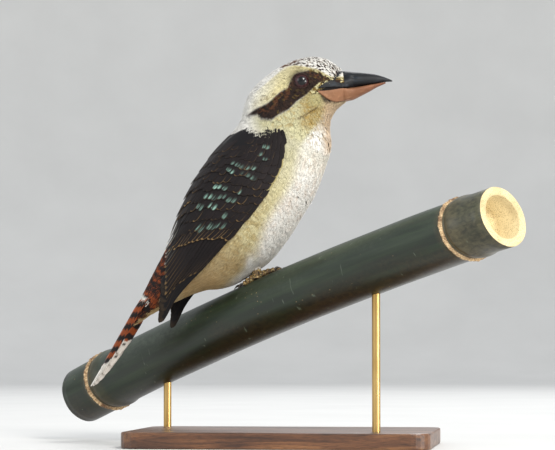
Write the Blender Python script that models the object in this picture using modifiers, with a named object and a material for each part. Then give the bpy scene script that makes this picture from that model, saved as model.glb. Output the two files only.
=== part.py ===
"""A laughing kookaburra, life size, gripping a cut length of bamboo that a plain stand holds up.

Metres, +Z up. The bird looks along +X and its middle plane is y = 0. The origin is the middle of
the stand's underside, which is the floor. The bird is one feathered form, parted into head, neck,
torso and tail; the folded wings and the tail are built feather by feather over it.
"""
import math
import random

import bmesh
import bpy
from mathutils import Matrix, Vector

# The small gap that neighbouring pieces keep
GAP = 0.0003
RING_POINTS = 22

# The bird leans back along a line through its wrist; the tables below are read along that line
BODY_PITCH = math.radians(55)
WRIST = Vector((-0.002, 0.0, 0.295))
TAILWARD = Vector((-math.cos(BODY_PITCH), 0.0, -math.sin(BODY_PITCH)))
BACKWARD = Vector((-math.sin(BODY_PITCH), 0.0, math.cos(BODY_PITCH)))

# Face to shoulder: x and z on the crown side, x and z on the throat side, half width
HEAD_SECTIONS = (
    (0.0590, 0.3735, 0.0635, 0.3440, 0.0120),
    (0.0530, 0.3787, 0.0585, 0.3405, 0.0172),
    (0.0410, 0.3862, 0.0520, 0.3350, 0.0225),
    (0.0250, 0.3888, 0.0480, 0.3290, 0.0268),
    (0.0073, 0.3840, 0.0460, 0.3240, 0.0288),
    (-0.0108, 0.3752, 0.0453, 0.3190, 0.0300),
    (-0.0262, 0.3632, 0.0455, 0.3140, 0.0318),
    (-0.0372, 0.3505, 0.0460, 0.3080, 0.0342),
    (-0.0412, 0.3372, 0.0467, 0.3000, 0.0370),
    (-0.0447, 0.3240, 0.0450, 0.2910, 0.0405),
    (-0.0515, 0.3150, 0.0410, 0.2775, 0.0435),
)
# Shoulder to tail covert tips: distance tailward, reach to the back, reach to the belly, half width
TRUNK_SECTIONS = (
    (0.020, 0.0530, 0.0530, 0.0460),
    (0.040, 0.0545, 0.0540, 0.0490),
    (0.060, 0.0540, 0.0555, 0.0500),
    (0.080, 0.0530, 0.0552, 0.0495),
    (0.100, 0.0495, 0.0535, 0.0465),
    (0.118, 0.0455, 0.0460, 0.0415),
    (0.134, 0.0415, 0.0400, 0.0345),
    (0.149, 0.0400, 0.0290, 0.0280),
    (0.161, 0.0384, 0.0140, 0.0235),
    (0.176, 0.0364, 0.0040, 0.0195),
    (0.190, 0.0344, -0.0045, 0.0165),
    (0.204, 0.0322, -0.0120, 0.0130),
    (0.218, 0.0300, -0.0185, 0.0085),
)
HEAD_END = 6
NECK_END = 10
TORSO_END = 18
TAIL_CORE_END = 23
BACK_START = 8

# Folded wing: distance tailward, middle and half depth of the form it wraps, half width
WING_FORM = (
    (-0.010, 0.0000, 0.0490, 0.0430),
    (0.020, 0.0000, 0.0530, 0.0460),
    (0.040, 0.0003, 0.0543, 0.0490),
    (0.060, -0.0007, 0.0547, 0.0500),
    (0.080, -0.0011, 0.0541, 0.0495),
    (0.100, -0.0020, 0.0515, 0.0465),
    (0.118, -0.0002, 0.0458, 0.0420),
    (0.134, 0.0015, 0.0400, 0.0370),
    (0.150, 0.0040, 0.0350, 0.0330),
    (0.170, 0.0070, 0.0270, 0.0270),
    (0.190, 0.0070, 0.0190, 0.0210),
    (0.214, 0.0040, 0.0100, 0.0150),
)
# Folded wing: distance tailward, turn from the back to its upper and lower edge, height on the body
WING_CORE = (
    (-0.010, 48.0, 88.0, 0.0002),
    (0.002, 38.0, 97.0, 0.0026),
    (0.020, 26.0, 104.0, 0.0036),
    (0.050, 18.0, 107.0, 0.0036),
    (0.080, 13.0, 105.0, 0.0032),
    (0.096, 11.0, 103.0, 0.0028),
    (0.112, 11.0, 101.0, 0.0022),
    (0.132, 16.0, 60.0, 0.0018),
)
WING_CORE_STEPS = 8
WING_CORE_FACETS = 5
LEFT_WING_DROOP = 0.009
DROOP_START = 0.120
VANE_THICK = 0.0006
# Each feather is this much wider than the step to its neighbour, and this much higher at its lower edge
VANE_OVERLAP = 1.6
VANE_TILT = 0.00078
VANE_STAGGER = 0.0010
# Share of a wing feather's length, and its width there as a share of the full width
WING_VANE = ((0.0, 1.0), (0.45, 1.0), (0.82, 1.0), (0.95, 0.66), (1.0, 0.22))
# Tiers of the folded wing. Count; tip and root of the lowest feather, tip and root of the highest,
# each as distance tailward and turn; height at the root and at the tip
WING_TIERS = {
    "primary": (7, (0.2115, 111), (0.096, 99), (0.180, 66), (0.104, 80), 0.0012, 0.0006),
    "secondary": (6, (0.1765, 62), (0.095, 80), (0.149, 30), (0.110, 42), 0.0010, 0.0020),
    "tertial": (3, (0.1460, 25), (0.090, 38), (0.130, 12), (0.082, 18), 0.0016, 0.0036),
    "greater_covert": (6, (0.1010, 97), (0.064, 101), (0.141, 47), (0.094, 50), 0.0016, 0.0046),
    "median_covert": (5, (0.0790, 99), (0.044, 100), (0.115, 43), (0.068, 46), 0.0016, 0.0058),
    "lesser_covert": (4, (0.0560, 99), (0.024, 98), (0.089, 40), (0.046, 43), 0.0016, 0.0062),
    "shoulder_covert": (4, (0.0340, 98), (0.004, 91), (0.060, 42), (0.022, 48), 0.0012, 0.0060),
    "scapular": (3, (0.0800, 30), (0.030, 40), (0.108, 13), (0.046, 22), 0.0014, 0.0060),
}

# Tail
TAIL_TOP = 0.0350
TAIL_TOP_AT = 0.190
TAIL_SLOPE = 0.0935
TAIL_ROOF = 0.27
TAIL_LAYER = 0.0009
TAIL_ROOT = 0.172
TAIL_FREE = 0.216
TAIL_SUNK = 0.0035
TAIL_PARTING = 0.0006
TAIL_FEATHERS = (
    (0.3045, 0.0120),
    (0.3020, 0.0145),
    (0.2970, 0.0168),
    (0.2890, 0.0190),
    (0.2780, 0.0208),
    (0.2640, 0.0222),
)
# Share of a tail feather's half that its inner and outer edges reach, by distance before the tip
TAIL_TIP_SHAPE = ((0.038, 0.02, 1.0), (0.015, 0.03, 0.93), (0.005, 0.12, 0.76), (0.0, 0.30, 0.54))
# Coverts over and under the tail: count, turn of the middle, turn from it to the last, root, tip,
# width, height of the last
TAIL_COVERTS = (
    (5, 0.0, 46.0, 0.160, 0.201, 0.012, 0.0004),
    (3, 0.0, 32.0, 0.152, 0.182, 0.014, 0.0027),
    (3, 180.0, 36.0, 0.172, 0.206, 0.013, 0.0006),
)
# Share of a covert's length, its width there, and how far it has sunk into the body
TAIL_VANE = ((0.0, 0.7, 0.0040), (0.30, 0.95, 0.0), (0.75, 1.0, 0.0), (0.93, 0.64, 0.0), (1.0, 0.22, 0.0))

# Bill: x and z on top, x and z below, half width
BILL_UPPER = (
    (0.0593, 0.3733, 0.0619, 0.3557, 0.0125),
    (0.0670, 0.3726, 0.0672, 0.3565, 0.0114),
    (0.0750, 0.3718, 0.0751, 0.3578, 0.0097),
    (0.0830, 0.3710, 0.0830, 0.3591, 0.0079),
    (0.0913, 0.3698, 0.0913, 0.3605, 0.0058),
    (0.0990, 0.3675, 0.0990, 0.3620, 0.0036),
    (0.1050, 0.3650, 0.1050, 0.3624, 0.0017),
    (0.1078, 0.3635, 0.1078, 0.3625, 0.0006),
)
BILL_LOWER = (
    (0.0620, 0.3553, 0.0638, 0.3441, 0.0122),
    (0.0680, 0.3562, 0.0690, 0.3449, 0.0108),
    (0.0765, 0.3575, 0.0770, 0.3488, 0.0089),
    (0.0850, 0.3590, 0.0850, 0.3528, 0.0066),
    (0.0930, 0.3603, 0.0930, 0.3572, 0.0042),
    (0.1010, 0.3617, 0.1010, 0.3606, 0.0018),
)
GAPE = Vector((0.027, 0.0, 0.3523))
MOUTH_SLIT = 0.0008
NOSTRIL = Vector((0.0700, 0.0098, 0.3665))
NOSTRIL_SIZE = (0.0026, 0.0012, 0.0009)
NOSTRIL_SLANT = math.radians(25)

# Eyes
EYE_CENTRE = Vector((0.0193, 0.0215, 0.3611))
EYE_RADIUS = 0.0092
LID_RADIUS = 0.0087
LID_THICK = 0.0016
LID_OUT = 0.0060

# Bamboo: its middle line passes under the bird's feet and rises towards the viewer's right
CULM_CENTRE = Vector((-0.023, 0.0, 0.1357))
CULM_HEADING = math.radians(-33.0)
CULM_CLIMB = math.radians(17.8)
CULM_ALONG = Vector((math.cos(CULM_CLIMB) * math.cos(CULM_HEADING),
                     math.cos(CULM_CLIMB) * math.sin(CULM_HEADING), math.sin(CULM_CLIMB)))
CULM_RADIUS = 0.0295
CULM_LOW_END = -0.262
CULM_HIGH_END = 0.303
CULM_BOW_RADIUS = 4.2
CULM_NODES = (-0.220, 0.261)
CULM_NODE_SKEW = 0.28
CULM_WALL = 0.0085
DIAPHRAGM_SETBACK = 0.012

# Feet: place along the culm, turn round it, and toe lengths
TOE_RADIUS = 0.0030
FEET = (("right", 0.010, 16.0), ("left", -0.008, -17.0))
TOES = (("middle", 0.0, 0.027), ("outer", -24.0, 0.022), ("inner", 27.0, 0.018), ("hind", 180.0, 0.015))
CLAW_LENGTH = 0.008
ANKLE_HEIGHT = 0.0085
TARSUS_RADIUS = 0.0036
THIGH_RADIUS = 0.0096
KNEE = Vector((-0.006, 0.004, 0.026))
# Sole of the foot: height over the culm and radius
FOOT_PALM = ((0.0012, 0.0030), (0.0030, 0.0044), (0.0055, 0.0042), (ANKLE_HEIGHT, TARSUS_RADIUS))
CLAW_RADIUS = 0.0017
CLAW_TIP = 0.00025
CLAW_ARCH = 0.0022
CULM_CUT_SPAN = (-0.22, 0.25)

# Stand
BASE_SIZE = (0.300, 0.200, 0.016)
BASE_CORNER = 0.018
ROD_RADIUS = 0.0040
RODS = (("low", -0.135), ("high", 0.150))


def clear_scene():
    for obj in list(bpy.data.objects):
        bpy.data.objects.remove(obj, do_unlink=True)


def collection(name):
    group = bpy.data.collections.new(name)
    bpy.context.scene.collection.children.link(group)
    return group


def paint(name, colour, roughness, metallic=0.0):
    material = bpy.data.materials.new(name)
    material.use_nodes = True
    shader = material.node_tree.nodes["Principled BSDF"]
    shader.inputs["Base Color"].default_value = (*colour, 1.0)
    shader.inputs["Roughness"].default_value = roughness
    shader.inputs["Metallic"].default_value = metallic
    material.diffuse_color = (*colour, 1.0)
    return material


def add_object(name, mesh, material=None):
    obj = bpy.data.objects.new(name, mesh)
    KOOKABURRA.objects.link(obj)
    if material:
        mesh.materials.clear()
        mesh.materials.append(material)
    return obj


def read_table(rows, at):
    """Reads a smooth curve through a table at one value of its first column."""
    last = len(rows) - 1
    at = min(max(at, rows[0][0]), rows[last][0])
    k = 0
    while k < last - 1 and at > rows[k + 1][0]:
        k += 1
    span = rows[k + 1][0] - rows[k][0]
    u = (at - rows[k][0]) / span
    before, after = rows[max(k - 1, 0)], rows[min(k + 2, last)]
    here, there = rows[k], rows[k + 1]
    values = []
    for column in range(1, len(here)):
        slope_in = (there[column] - before[column]) / (there[0] - before[0]) * span
        slope_out = (after[column] - here[column]) / (after[0] - here[0]) * span
        values.append((2 * u ** 3 - 3 * u ** 2 + 1) * here[column] + (u ** 3 - 2 * u ** 2 + u) * slope_in
                      + (3 * u ** 2 - 2 * u ** 3) * there[column] + (u ** 3 - u ** 2) * slope_out)
    return values


def body_point(tailward, backward, out=0.0):
    return WRIST + TAILWARD * tailward + BACKWARD * backward + Vector((0.0, out, 0.0))


def flesh_sections():
    """The head's and trunk's sections as one table, numbered from the face to the tail."""
    rows = [(k, *row) for k, row in enumerate(HEAD_SECTIONS)]
    for tailward, back, belly, wide in TRUNK_SECTIONS:
        high = body_point(tailward, back)
        low = body_point(tailward, -belly)
        rows.append((len(rows), high.x, high.z, low.x, low.z, wide))
    return rows


def flesh_ring(rows, at, grow=0.0, shift=0.0):
    """One flat oval section of the bird; shift moves it towards the tail."""
    high_x, high_z, low_x, low_z, wide = read_table(rows, at)
    high, low = Vector((high_x, 0.0, high_z)), Vector((low_x, 0.0, low_z))
    middle, half = (high + low) / 2, (high - low) / 2
    up = half.normalized()
    tailward = up.cross(Vector((0.0, 1.0, 0.0)))
    points = []
    for k in range(RING_POINTS):
        turn = math.tau * k / RING_POINTS
        out = Vector((0.0, (wide + grow) * math.sin(turn), 0.0))
        points.append(middle + up * ((half.length + grow) * math.cos(turn)) + out + tailward * shift)
    return points


def loft(name, rings, material=None):
    """Skins closed rings of equal count in order, and closes both ends with a flat face."""
    form = bmesh.new()
    loops = [[form.verts.new(point) for point in ring] for ring in rings]
    for one, two in zip(loops, loops[1:]):
        for k in range(len(one)):
            n = (k + 1) % len(one)
            form.faces.new((one[k], one[n], two[n], two[k]))
    form.faces.new(loops[0])
    form.faces.new(loops[-1])
    bmesh.ops.recalc_face_normals(form, faces=form.faces)
    mesh = bpy.data.meshes.new(name)
    form.to_mesh(mesh)
    form.free()
    return add_object(name, mesh, material)


def vane(name, rows):
    """A thin feather from rows of four corners; both faces are split along the same diagonals."""
    form = bmesh.new()
    rings = [[form.verts.new(point) for point in row] for row in rows]
    for one, two in zip(rings, rings[1:]):
        form.faces.new((one[0], one[1], two[1]))
        form.faces.new((one[0], two[1], two[0]))
        form.faces.new((one[3], two[2], one[2]))
        form.faces.new((one[3], two[3], two[2]))
        for a, b in ((1, 2), (3, 0)):
            form.faces.new((one[a], one[b], two[b], two[a]))
    form.faces.new(rings[0])
    form.faces.new(rings[-1])
    bmesh.ops.recalc_face_normals(form, faces=form.faces)
    mesh = bpy.data.meshes.new(name)
    form.to_mesh(mesh)
    form.free()
    return add_object(name, mesh)


def evaluated_mesh(obj):
    bpy.context.view_layer.update()
    return bpy.data.meshes.new_from_object(obj.evaluated_get(bpy.context.evaluated_depsgraph_get()))


def keep_largest(mesh):
    """Drops every closed surface of a mesh but the one with the most faces."""
    form = bmesh.new()
    form.from_mesh(mesh)
    waiting = set(form.verts)
    shells = []
    while waiting:
        shell, edge_of_search = set(), [waiting.pop()]
        while edge_of_search:
            vert = edge_of_search.pop()
            shell.add(vert)
            for edge in vert.link_edges:
                other = edge.other_vert(vert)
                if other in waiting:
                    waiting.remove(other)
                    edge_of_search.append(other)
        shells.append(shell)
    shells.sort(key=len)
    for shell in shells[:-1]:
        bmesh.ops.delete(form, geom=list(shell), context="VERTS")
    form.to_mesh(mesh)
    form.free()


def replace_mesh(obj, mesh):
    old = obj.data
    obj.modifiers.clear()
    obj.data = mesh
    bpy.data.meshes.remove(old)


def join(core, pieces, solver="EXACT"):
    """Joins closed pieces to a core by one union and keeps the largest closed surface."""
    group = collection(core.name + "_pieces")
    for piece in pieces:
        group.objects.link(piece)
    union = core.modifiers.new("join", "BOOLEAN")
    union.operation = "UNION"
    union.operand_type = "COLLECTION"
    union.collection = group
    union.solver = solver
    mesh = evaluated_mesh(core)
    keep_largest(mesh)
    replace_mesh(core, mesh)
    for piece in pieces:
        bpy.data.objects.remove(piece, do_unlink=True)
    bpy.data.collections.remove(group)


def cut(obj, cutter, solver="EXACT"):
    """Takes the cutter out of the object and keeps the largest closed surface."""
    cutter.hide_render = True
    cutter.display_type = "WIRE"
    difference = obj.modifiers.new("cut", "BOOLEAN")
    difference.operation = "DIFFERENCE"
    difference.object = cutter
    difference.solver = solver
    mesh = evaluated_mesh(obj)
    keep_largest(mesh)
    replace_mesh(obj, mesh)


def remove(*objects):
    for obj in objects:
        bpy.data.objects.remove(obj, do_unlink=True)


def smooth(obj, angle=35.0):
    obj.data.shade_smooth()
    obj.data.set_sharp_from_angle(angle=math.radians(angle))


def flesh_part(name, rows, first, last, steps, material, first_gap=GAP / 2, last_gap=GAP / 2):
    rings = []
    for k in range(steps + 1):
        shift = first_gap if k == 0 else -last_gap if k == steps else 0.0
        rings.append(flesh_ring(rows, first + (last - first) * k / steps, shift=shift))
    return loft(name, rings, material)


def flesh_cutter(rows, first, last, steps):
    rings = [flesh_ring(rows, first + (last - first) * k / steps, grow=GAP) for k in range(steps + 1)]
    return loft("flesh_cutter", rings)


def ball(name, centre, radius, material=None, segments=14, rings=10):
    form = bmesh.new()
    bmesh.ops.create_uvsphere(form, u_segments=segments, v_segments=rings, radius=radius,
                              matrix=Matrix.Translation(centre) @ Matrix.Rotation(math.radians(90), 4, "X"))
    mesh = bpy.data.meshes.new(name)
    form.to_mesh(mesh)
    form.free()
    return add_object(name, mesh, material)


def lid_ring(side):
    bpy.ops.mesh.primitive_torus_add(
        major_segments=18, minor_segments=6, major_radius=LID_RADIUS, minor_radius=LID_THICK,
        location=(EYE_CENTRE.x, side * (EYE_CENTRE.y + LID_OUT), EYE_CENTRE.z),
        rotation=(math.radians(90), 0.0, 0.0))
    lid = bpy.context.object
    lid.data.transform(lid.matrix_world)
    lid.matrix_world = Matrix()
    return lid


def slab(name, low, high):
    """A box between two corners."""
    form = bmesh.new()
    bmesh.ops.create_cube(form, size=1.0)
    middle = (Vector(low) + Vector(high)) / 2
    size = Vector(high) - Vector(low)
    for vert in form.verts:
        vert.co = Vector((vert.co.x * size.x, vert.co.y * size.y, vert.co.z * size.z)) + middle
    mesh = bpy.data.meshes.new(name)
    form.to_mesh(mesh)
    form.free()
    return add_object(name, mesh)


def make_head(rows, material):
    head = flesh_part("head", rows, 0, HEAD_END, 12, material, first_gap=0.0)
    join(head, [lid_ring(-1), lid_ring(1)])
    for side in (-1, 1):
        socket = ball("socket", Vector((EYE_CENTRE.x, side * EYE_CENTRE.y, EYE_CENTRE.z)), EYE_RADIUS + GAP)
        cut(head, socket)
        remove(socket)
    bill_front = Vector((BILL_UPPER[0][2], 0.0, BILL_UPPER[0][3]))
    mouth = slab("mouth", (0.0, -0.05, -MOUTH_SLIT / 2), ((bill_front - GAPE).length + 0.01, 0.05, MOUTH_SLIT / 2))
    tilt = math.atan2(bill_front.z - GAPE.z, bill_front.x - GAPE.x)
    mouth.data.transform(Matrix.Translation(GAPE) @ Matrix.Rotation(-tilt, 4, "Y"))
    cut(head, mouth)
    remove(mouth)
    smooth(head)
    return head


def bill_ring(row, points=12, flat=0.0):
    """A section of one half of the bill, flat on the side where the halves meet."""
    high, low = Vector((row[0], 0.0, row[1])), Vector((row[2], 0.0, row[3]))
    ring = []
    for k in range(points):
        turn = math.tau * (k + 0.5) / points
        up = math.cos(turn)
        out = math.copysign(abs(math.sin(turn)) ** 0.75, math.sin(turn))
        height = 0.5 + 0.5 * math.copysign(abs(up) ** 0.8, up)
        narrow = 1.0 - 0.28 * (height if flat == 0.0 else 1.0 - height) ** 1.5
        ring.append(low.lerp(high, height) + Vector((0.0, row[4] * out * narrow, 0.0)))
    return ring


def make_bill(material_upper, material_lower):
    upper = loft("bill_upper", [bill_ring(row) for row in BILL_UPPER], material_upper)
    for side in (-1, 1):
        nostril = ball("nostril", Vector((0.0, 0.0, 0.0)), 1.0, segments=8, rings=6)
        place = Matrix.Translation(Vector((NOSTRIL.x, side * NOSTRIL.y, NOSTRIL.z)))
        nostril.data.transform(place @ Matrix.Rotation(NOSTRIL_SLANT, 4, "Y")
                               @ Matrix.Diagonal((*NOSTRIL_SIZE, 1.0)))
        cut(upper, nostril)
        remove(nostril)
    lower = loft("bill_lower", [bill_ring(row, flat=1.0) for row in BILL_LOWER], material_lower)
    smooth(upper)
    smooth(lower)


def wing_form(tailward, side):
    """Middle, half depth and half width of the form that a folded wing wraps."""
    middle, deep, wide = read_table(WING_FORM, tailward)
    if side > 0 and tailward > DROOP_START:
        tip_share = (tailward - DROOP_START) / (WING_FORM[-1][0] - DROOP_START)
        middle -= LEFT_WING_DROOP * tip_share ** 1.5
    return middle, deep, wide


def wing_point(tailward, turn, lift, side):
    """A point on the folded wing, turned from the back round the body and lifted off it."""
    middle, deep, wide = wing_form(tailward, side)
    backward = middle + (deep + lift) * math.cos(turn)
    return body_point(tailward, backward, side * (wide + lift) * math.sin(turn))


def wing_core(side, name, material):
    """The arm and its small coverts as one curved plate over the body."""
    rings = []
    first, last = WING_CORE[0][0], WING_CORE[-1][0]
    for k in range(WING_CORE_STEPS + 1):
        tailward = first + (last - first) * k / WING_CORE_STEPS
        upper, lower, lift = read_table(WING_CORE, tailward)
        turns = [math.radians(upper + (lower - upper) * j / WING_CORE_FACETS) for j in range(WING_CORE_FACETS + 1)]
        outer = [wing_point(tailward, turn, lift, side) for turn in turns]
        inner = [wing_point(tailward, turn, -0.003, side) for turn in reversed(turns)]
        rings.append(outer + inner)
    return loft(name, rings, material)


def between(first, last, share):
    return [a + (b - a) * share for a, b in zip(first, last)]


def wing_feather(side, root, tip, root_step, tip_step, root_lift, tip_lift):
    """A vane along the wing; its upper edge lies under the next feather towards the back."""
    rows = []
    for share, breadth in WING_VANE:
        tailward, turn = between(root, tip, share)
        spread = math.radians(abs(root_step + (tip_step - root_step) * share)) * VANE_OVERLAP * breadth / 2
        turn = math.radians(turn)
        lift = root_lift + (tip_lift - root_lift) * share
        lean = VANE_TILT * breadth
        half = VANE_THICK / 2
        rows.append((wing_point(tailward, turn - spread, lift - lean + half, side),
                     wing_point(tailward, turn + spread, lift + lean + half, side),
                     wing_point(tailward, turn + spread, lift + lean - half, side),
                     wing_point(tailward, turn - spread, lift - lean - half, side)))
    return vane("wing_feather", rows)


def wing_tier(side, tier, draw):
    count, low_tip, low_root, high_tip, high_root, root_lift, tip_lift = tier
    root_step = (high_root[1] - low_root[1]) / (count - 1)
    tip_step = (high_tip[1] - low_tip[1]) / (count - 1)
    feathers = []
    for k in range(count):
        root = between(low_root, high_root, k / (count - 1))
        tip = between(low_tip, high_tip, k / (count - 1))
        tip[0] += draw.uniform(-VANE_STAGGER, VANE_STAGGER)
        feathers.append(wing_feather(side, root, tip, root_step, tip_step, root_lift, tip_lift))
    return feathers


def make_wing(side, name, material, cutter):
    wing = wing_core(side, name, material)
    draw = random.Random(11)
    feathers = []
    for tier in WING_TIERS.values():
        feathers += wing_tier(side, tier, draw)
    join(wing, feathers)
    cut(wing, cutter)
    smooth(wing)


def tail_point(tailward, out, lift):
    top = TAIL_TOP - TAIL_SLOPE * (tailward - TAIL_TOP_AT)
    return body_point(tailward, top - TAIL_ROOF * abs(out) + lift, out)


def tail_feather(side, index):
    """One half-hidden tail feather, from its root in the rump to its rounded tip."""
    tip, reach = TAIL_FEATHERS[index]
    lift = -TAIL_LAYER * index
    edges = [(TAIL_ROOT, TAIL_PARTING, 0.35 * reach, lift - TAIL_SUNK), (TAIL_FREE, TAIL_PARTING, 0.90 * reach, lift)]
    edges += [(tip - before, max(inner * reach, TAIL_PARTING), outer * reach, lift)
              for before, inner, outer in TAIL_TIP_SHAPE]
    half = VANE_THICK / 2
    rows = [(tail_point(tailward, side * inner, high + half), tail_point(tailward, side * outer, high + half),
             tail_point(tailward, side * outer, high - half), tail_point(tailward, side * inner, high - half))
            for tailward, inner, outer, high in edges]
    return vane("tail_feather", rows)


def trunk_point(tailward, turn, lift):
    """A point on the trunk's own surface, turned from the back and lifted off it."""
    back, belly, wide = read_table(TRUNK_SECTIONS, tailward)
    middle, deep = (back - belly) / 2, (back + belly) / 2
    return body_point(tailward, middle + (deep + lift) * math.cos(turn), (wide + lift) * math.sin(turn))


def tail_covert(turn, root, tip, width, height):
    rows = []
    half = VANE_THICK / 2
    for share, breadth, sunk in TAIL_VANE:
        tailward = root + (tip - root) * share
        back, belly, wide = read_table(TRUNK_SECTIONS, tailward)
        reach = math.hypot((back + belly) / 2 * math.sin(turn), wide * math.cos(turn))
        turns = turn - width * breadth / 2 / reach, turn + width * breadth / 2 / reach
        lift = height - sunk
        rows.append((trunk_point(tailward, turns[0], lift + half), trunk_point(tailward, turns[1], lift + half),
                     trunk_point(tailward, turns[1], lift - half), trunk_point(tailward, turns[0], lift - half)))
    return vane("tail_covert", rows)


def make_tail(rows, material):
    tail = flesh_part("tail", rows, TORSO_END, TAIL_CORE_END, 6, material, last_gap=0.0)
    feathers = [tail_feather(side, index) for side in (-1, 1) for index in range(len(TAIL_FEATHERS))]
    for count, middle, spread, root, tip, width, height in TAIL_COVERTS:
        for k in range(count):
            from_middle = 2 * k / (count - 1) - 1
            layer = round((1 - abs(from_middle)) * (count - 1) / 2)
            feathers.append(tail_covert(math.radians(middle + spread * from_middle), root, tip, width,
                                        height + layer * TAIL_LAYER))
    join(tail, feathers)
    smooth(tail)


def culm_frame():
    up = (Vector((0.0, 0.0, 1.0)) - CULM_ALONG * CULM_ALONG.z).normalized()
    return up, CULM_ALONG.cross(up)


def culm_centre(along):
    up, _ = culm_frame()
    return CULM_CENTRE + CULM_ALONG * along - up * (along * along / (2 * CULM_BOW_RADIUS))


def culm_point(along, turn, height):
    up, near = culm_frame()
    return culm_centre(along) + (up * math.cos(turn) + near * math.sin(turn)) * (CULM_RADIUS + height)


def culm_radius(along):
    """The bamboo's radius: a sheath scar and a swelling at each joint."""
    radius = CULM_RADIUS
    for node in CULM_NODES:
        off = along - node
        radius += 0.0022 * math.exp(-(off / 0.0022) ** 2)
        radius += 0.0016 * math.exp(-((off - 0.010) / 0.006) ** 2)
        radius -= 0.0008 * math.exp(-((off - 0.0045) / 0.0018) ** 2)
    return radius


def culm_stations():
    stations = [CULM_LOW_END, CULM_HIGH_END]
    for node in CULM_NODES:
        stations += [node + off for off in (-0.012, -0.005, -0.0022, 0.0, 0.0022, 0.0048, 0.010, 0.018, 0.026)]
    stations += [-0.15 + 0.06 * k for k in range(7)]
    return sorted(stations)


def turned(name, profile, steps, material=None):
    """A turned shape about its own Z: the profile runs down its outer side."""
    mesh = bpy.data.meshes.new(name)
    edges = [(k, k + 1) for k in range(len(profile) - 1)]
    mesh.from_pydata([(radius, 0.0, height) for radius, height in profile], edges, [])
    obj = add_object(name, mesh, material)
    screw = obj.modifiers.new("turn", "SCREW")
    screw.steps = steps
    screw.render_steps = steps
    screw.use_merge_vertices = True
    screw.merge_threshold = 0.00001
    return obj


def bend_culm(obj):
    """Lays a form turned about Z along the culm's own bowed line."""
    up, near = culm_frame()
    mesh = evaluated_mesh(obj)
    for vert in mesh.vertices:
        x, y, z = vert.co
        skew = max(math.exp(-((z - node) / 0.045) ** 4) for node in CULM_NODES)
        vert.co = culm_centre(z) - CULM_ALONG * (CULM_NODE_SKEW * skew * y) + up * x + near * y
    replace_mesh(obj, mesh)
    form = bmesh.new()
    form.from_mesh(mesh)
    bmesh.ops.recalc_face_normals(form, faces=form.faces)
    form.to_mesh(mesh)
    form.free()


def make_culm(material):
    """The cut ends are hollow down to the woody plate that closes each joint."""
    inner = CULM_RADIUS - CULM_WALL
    high_plate = CULM_NODES[1] + DIAPHRAGM_SETBACK
    low_plate = CULM_NODES[0] - DIAPHRAGM_SETBACK
    profile = [(0.0, high_plate), (inner * 0.6, high_plate), (inner, high_plate + 0.004), (inner, CULM_HIGH_END)]
    profile += [(culm_radius(along), along) for along in reversed(culm_stations())]
    profile += [(inner, CULM_LOW_END), (inner, low_plate - 0.004), (inner * 0.6, low_plate), (0.0, low_plate)]
    culm = turned("perch_culm", profile, 24, material)
    bend_culm(culm)
    smooth(culm)
    return culm


def culm_cutter():
    low, high = CULM_CUT_SPAN
    wall = [(CULM_RADIUS + GAP, high + (low - high) * k / 20) for k in range(21)]
    profile = [(0.0, high), *wall, (0.0, low)]
    cutter = turned("culm_cutter", profile, 56)
    bend_culm(cutter)
    return cutter


def toe_heading():
    """The way the bird faces, as an angle from the culm's length over its surface."""
    _, near = culm_frame()
    ahead = Vector((1.0, 0.0, 0.0))
    return math.atan2(ahead.dot(near), ahead.dot(CULM_ALONG))


def toe(name, along, turn, heading, length):
    """One toe laid over the culm, with its joint pads, and its claw hooked over to the tip."""
    rings = []
    reach = length + CLAW_LENGTH
    steps = 9
    for k in range(steps + 1):
        run = reach * k / steps
        claw = max(0.0, (run - length) / CLAW_LENGTH)
        thick = TOE_RADIUS * (1.0 - 0.28 * min(run / length, 1.0) + 0.09 * math.cos(run / length * 3 * math.tau))
        if claw > 0.0:
            thick = CLAW_RADIUS * (1.0 - claw) + CLAW_TIP
        height = max(thick * 0.8, 0.0007) + CLAW_ARCH * math.sin(math.pi * claw) * (1.0 - 0.3 * claw)

        def at(distance, lift):
            place = turn + distance * math.sin(heading) / (CULM_RADIUS + TOE_RADIUS)
            return culm_point(along + distance * math.cos(heading), place, lift)

        middle = at(run, height)
        ahead = (at(run + 0.001, height) - at(run - 0.001, height)).normalized()
        out = (at(run, height + 0.001) - middle).normalized()
        across = ahead.cross(out).normalized()
        rings.append([middle + out * (thick * math.cos(a)) + across * (thick * math.sin(a))
                      for a in (math.tau * j / 6 for j in range(6))])
    return loft(name, rings)


def leg_path(side_name, along, turn):
    """Ankle, and the knee hidden in the belly feathers above it."""
    side = -1 if side_name == "right" else 1
    foot = culm_point(along, math.radians(turn), 0.0)
    ankle = foot + Vector((0.0, 0.0, ANKLE_HEIGHT))
    knee = ankle + Vector((KNEE.x, side * KNEE.y, KNEE.z))
    return foot, ankle, knee


def tube_ring(centre, direction, radius, count=10):
    side = direction.cross(Vector((0.0, 1.0, 0.0))).normalized()
    other = direction.cross(side).normalized()
    return [centre + side * (radius * math.cos(a)) + other * (radius * math.sin(a))
            for a in (math.tau * k / count for k in range(count))]


def make_foot(side_name, along, turn, material, culm_cut, flesh_cut):
    heading = toe_heading()
    side = -1 if side_name == "right" else 1
    foot, ankle, _ = leg_path(side_name, along, turn)
    toes = []
    for toe_name, spread, length in TOES:
        angle = heading + side * math.radians(spread)
        toes.append(toe("toe_" + toe_name, along, math.radians(turn), angle, length))
    up = (ankle - foot).normalized()
    sole = [tube_ring(foot + up * high, up, radius) for high, radius in FOOT_PALM]
    core = loft("foot_" + side_name, sole, material)
    join(core, toes)
    cut(core, flesh_cut)
    cut(core, culm_cut)
    smooth(core, 50.0)


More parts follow.
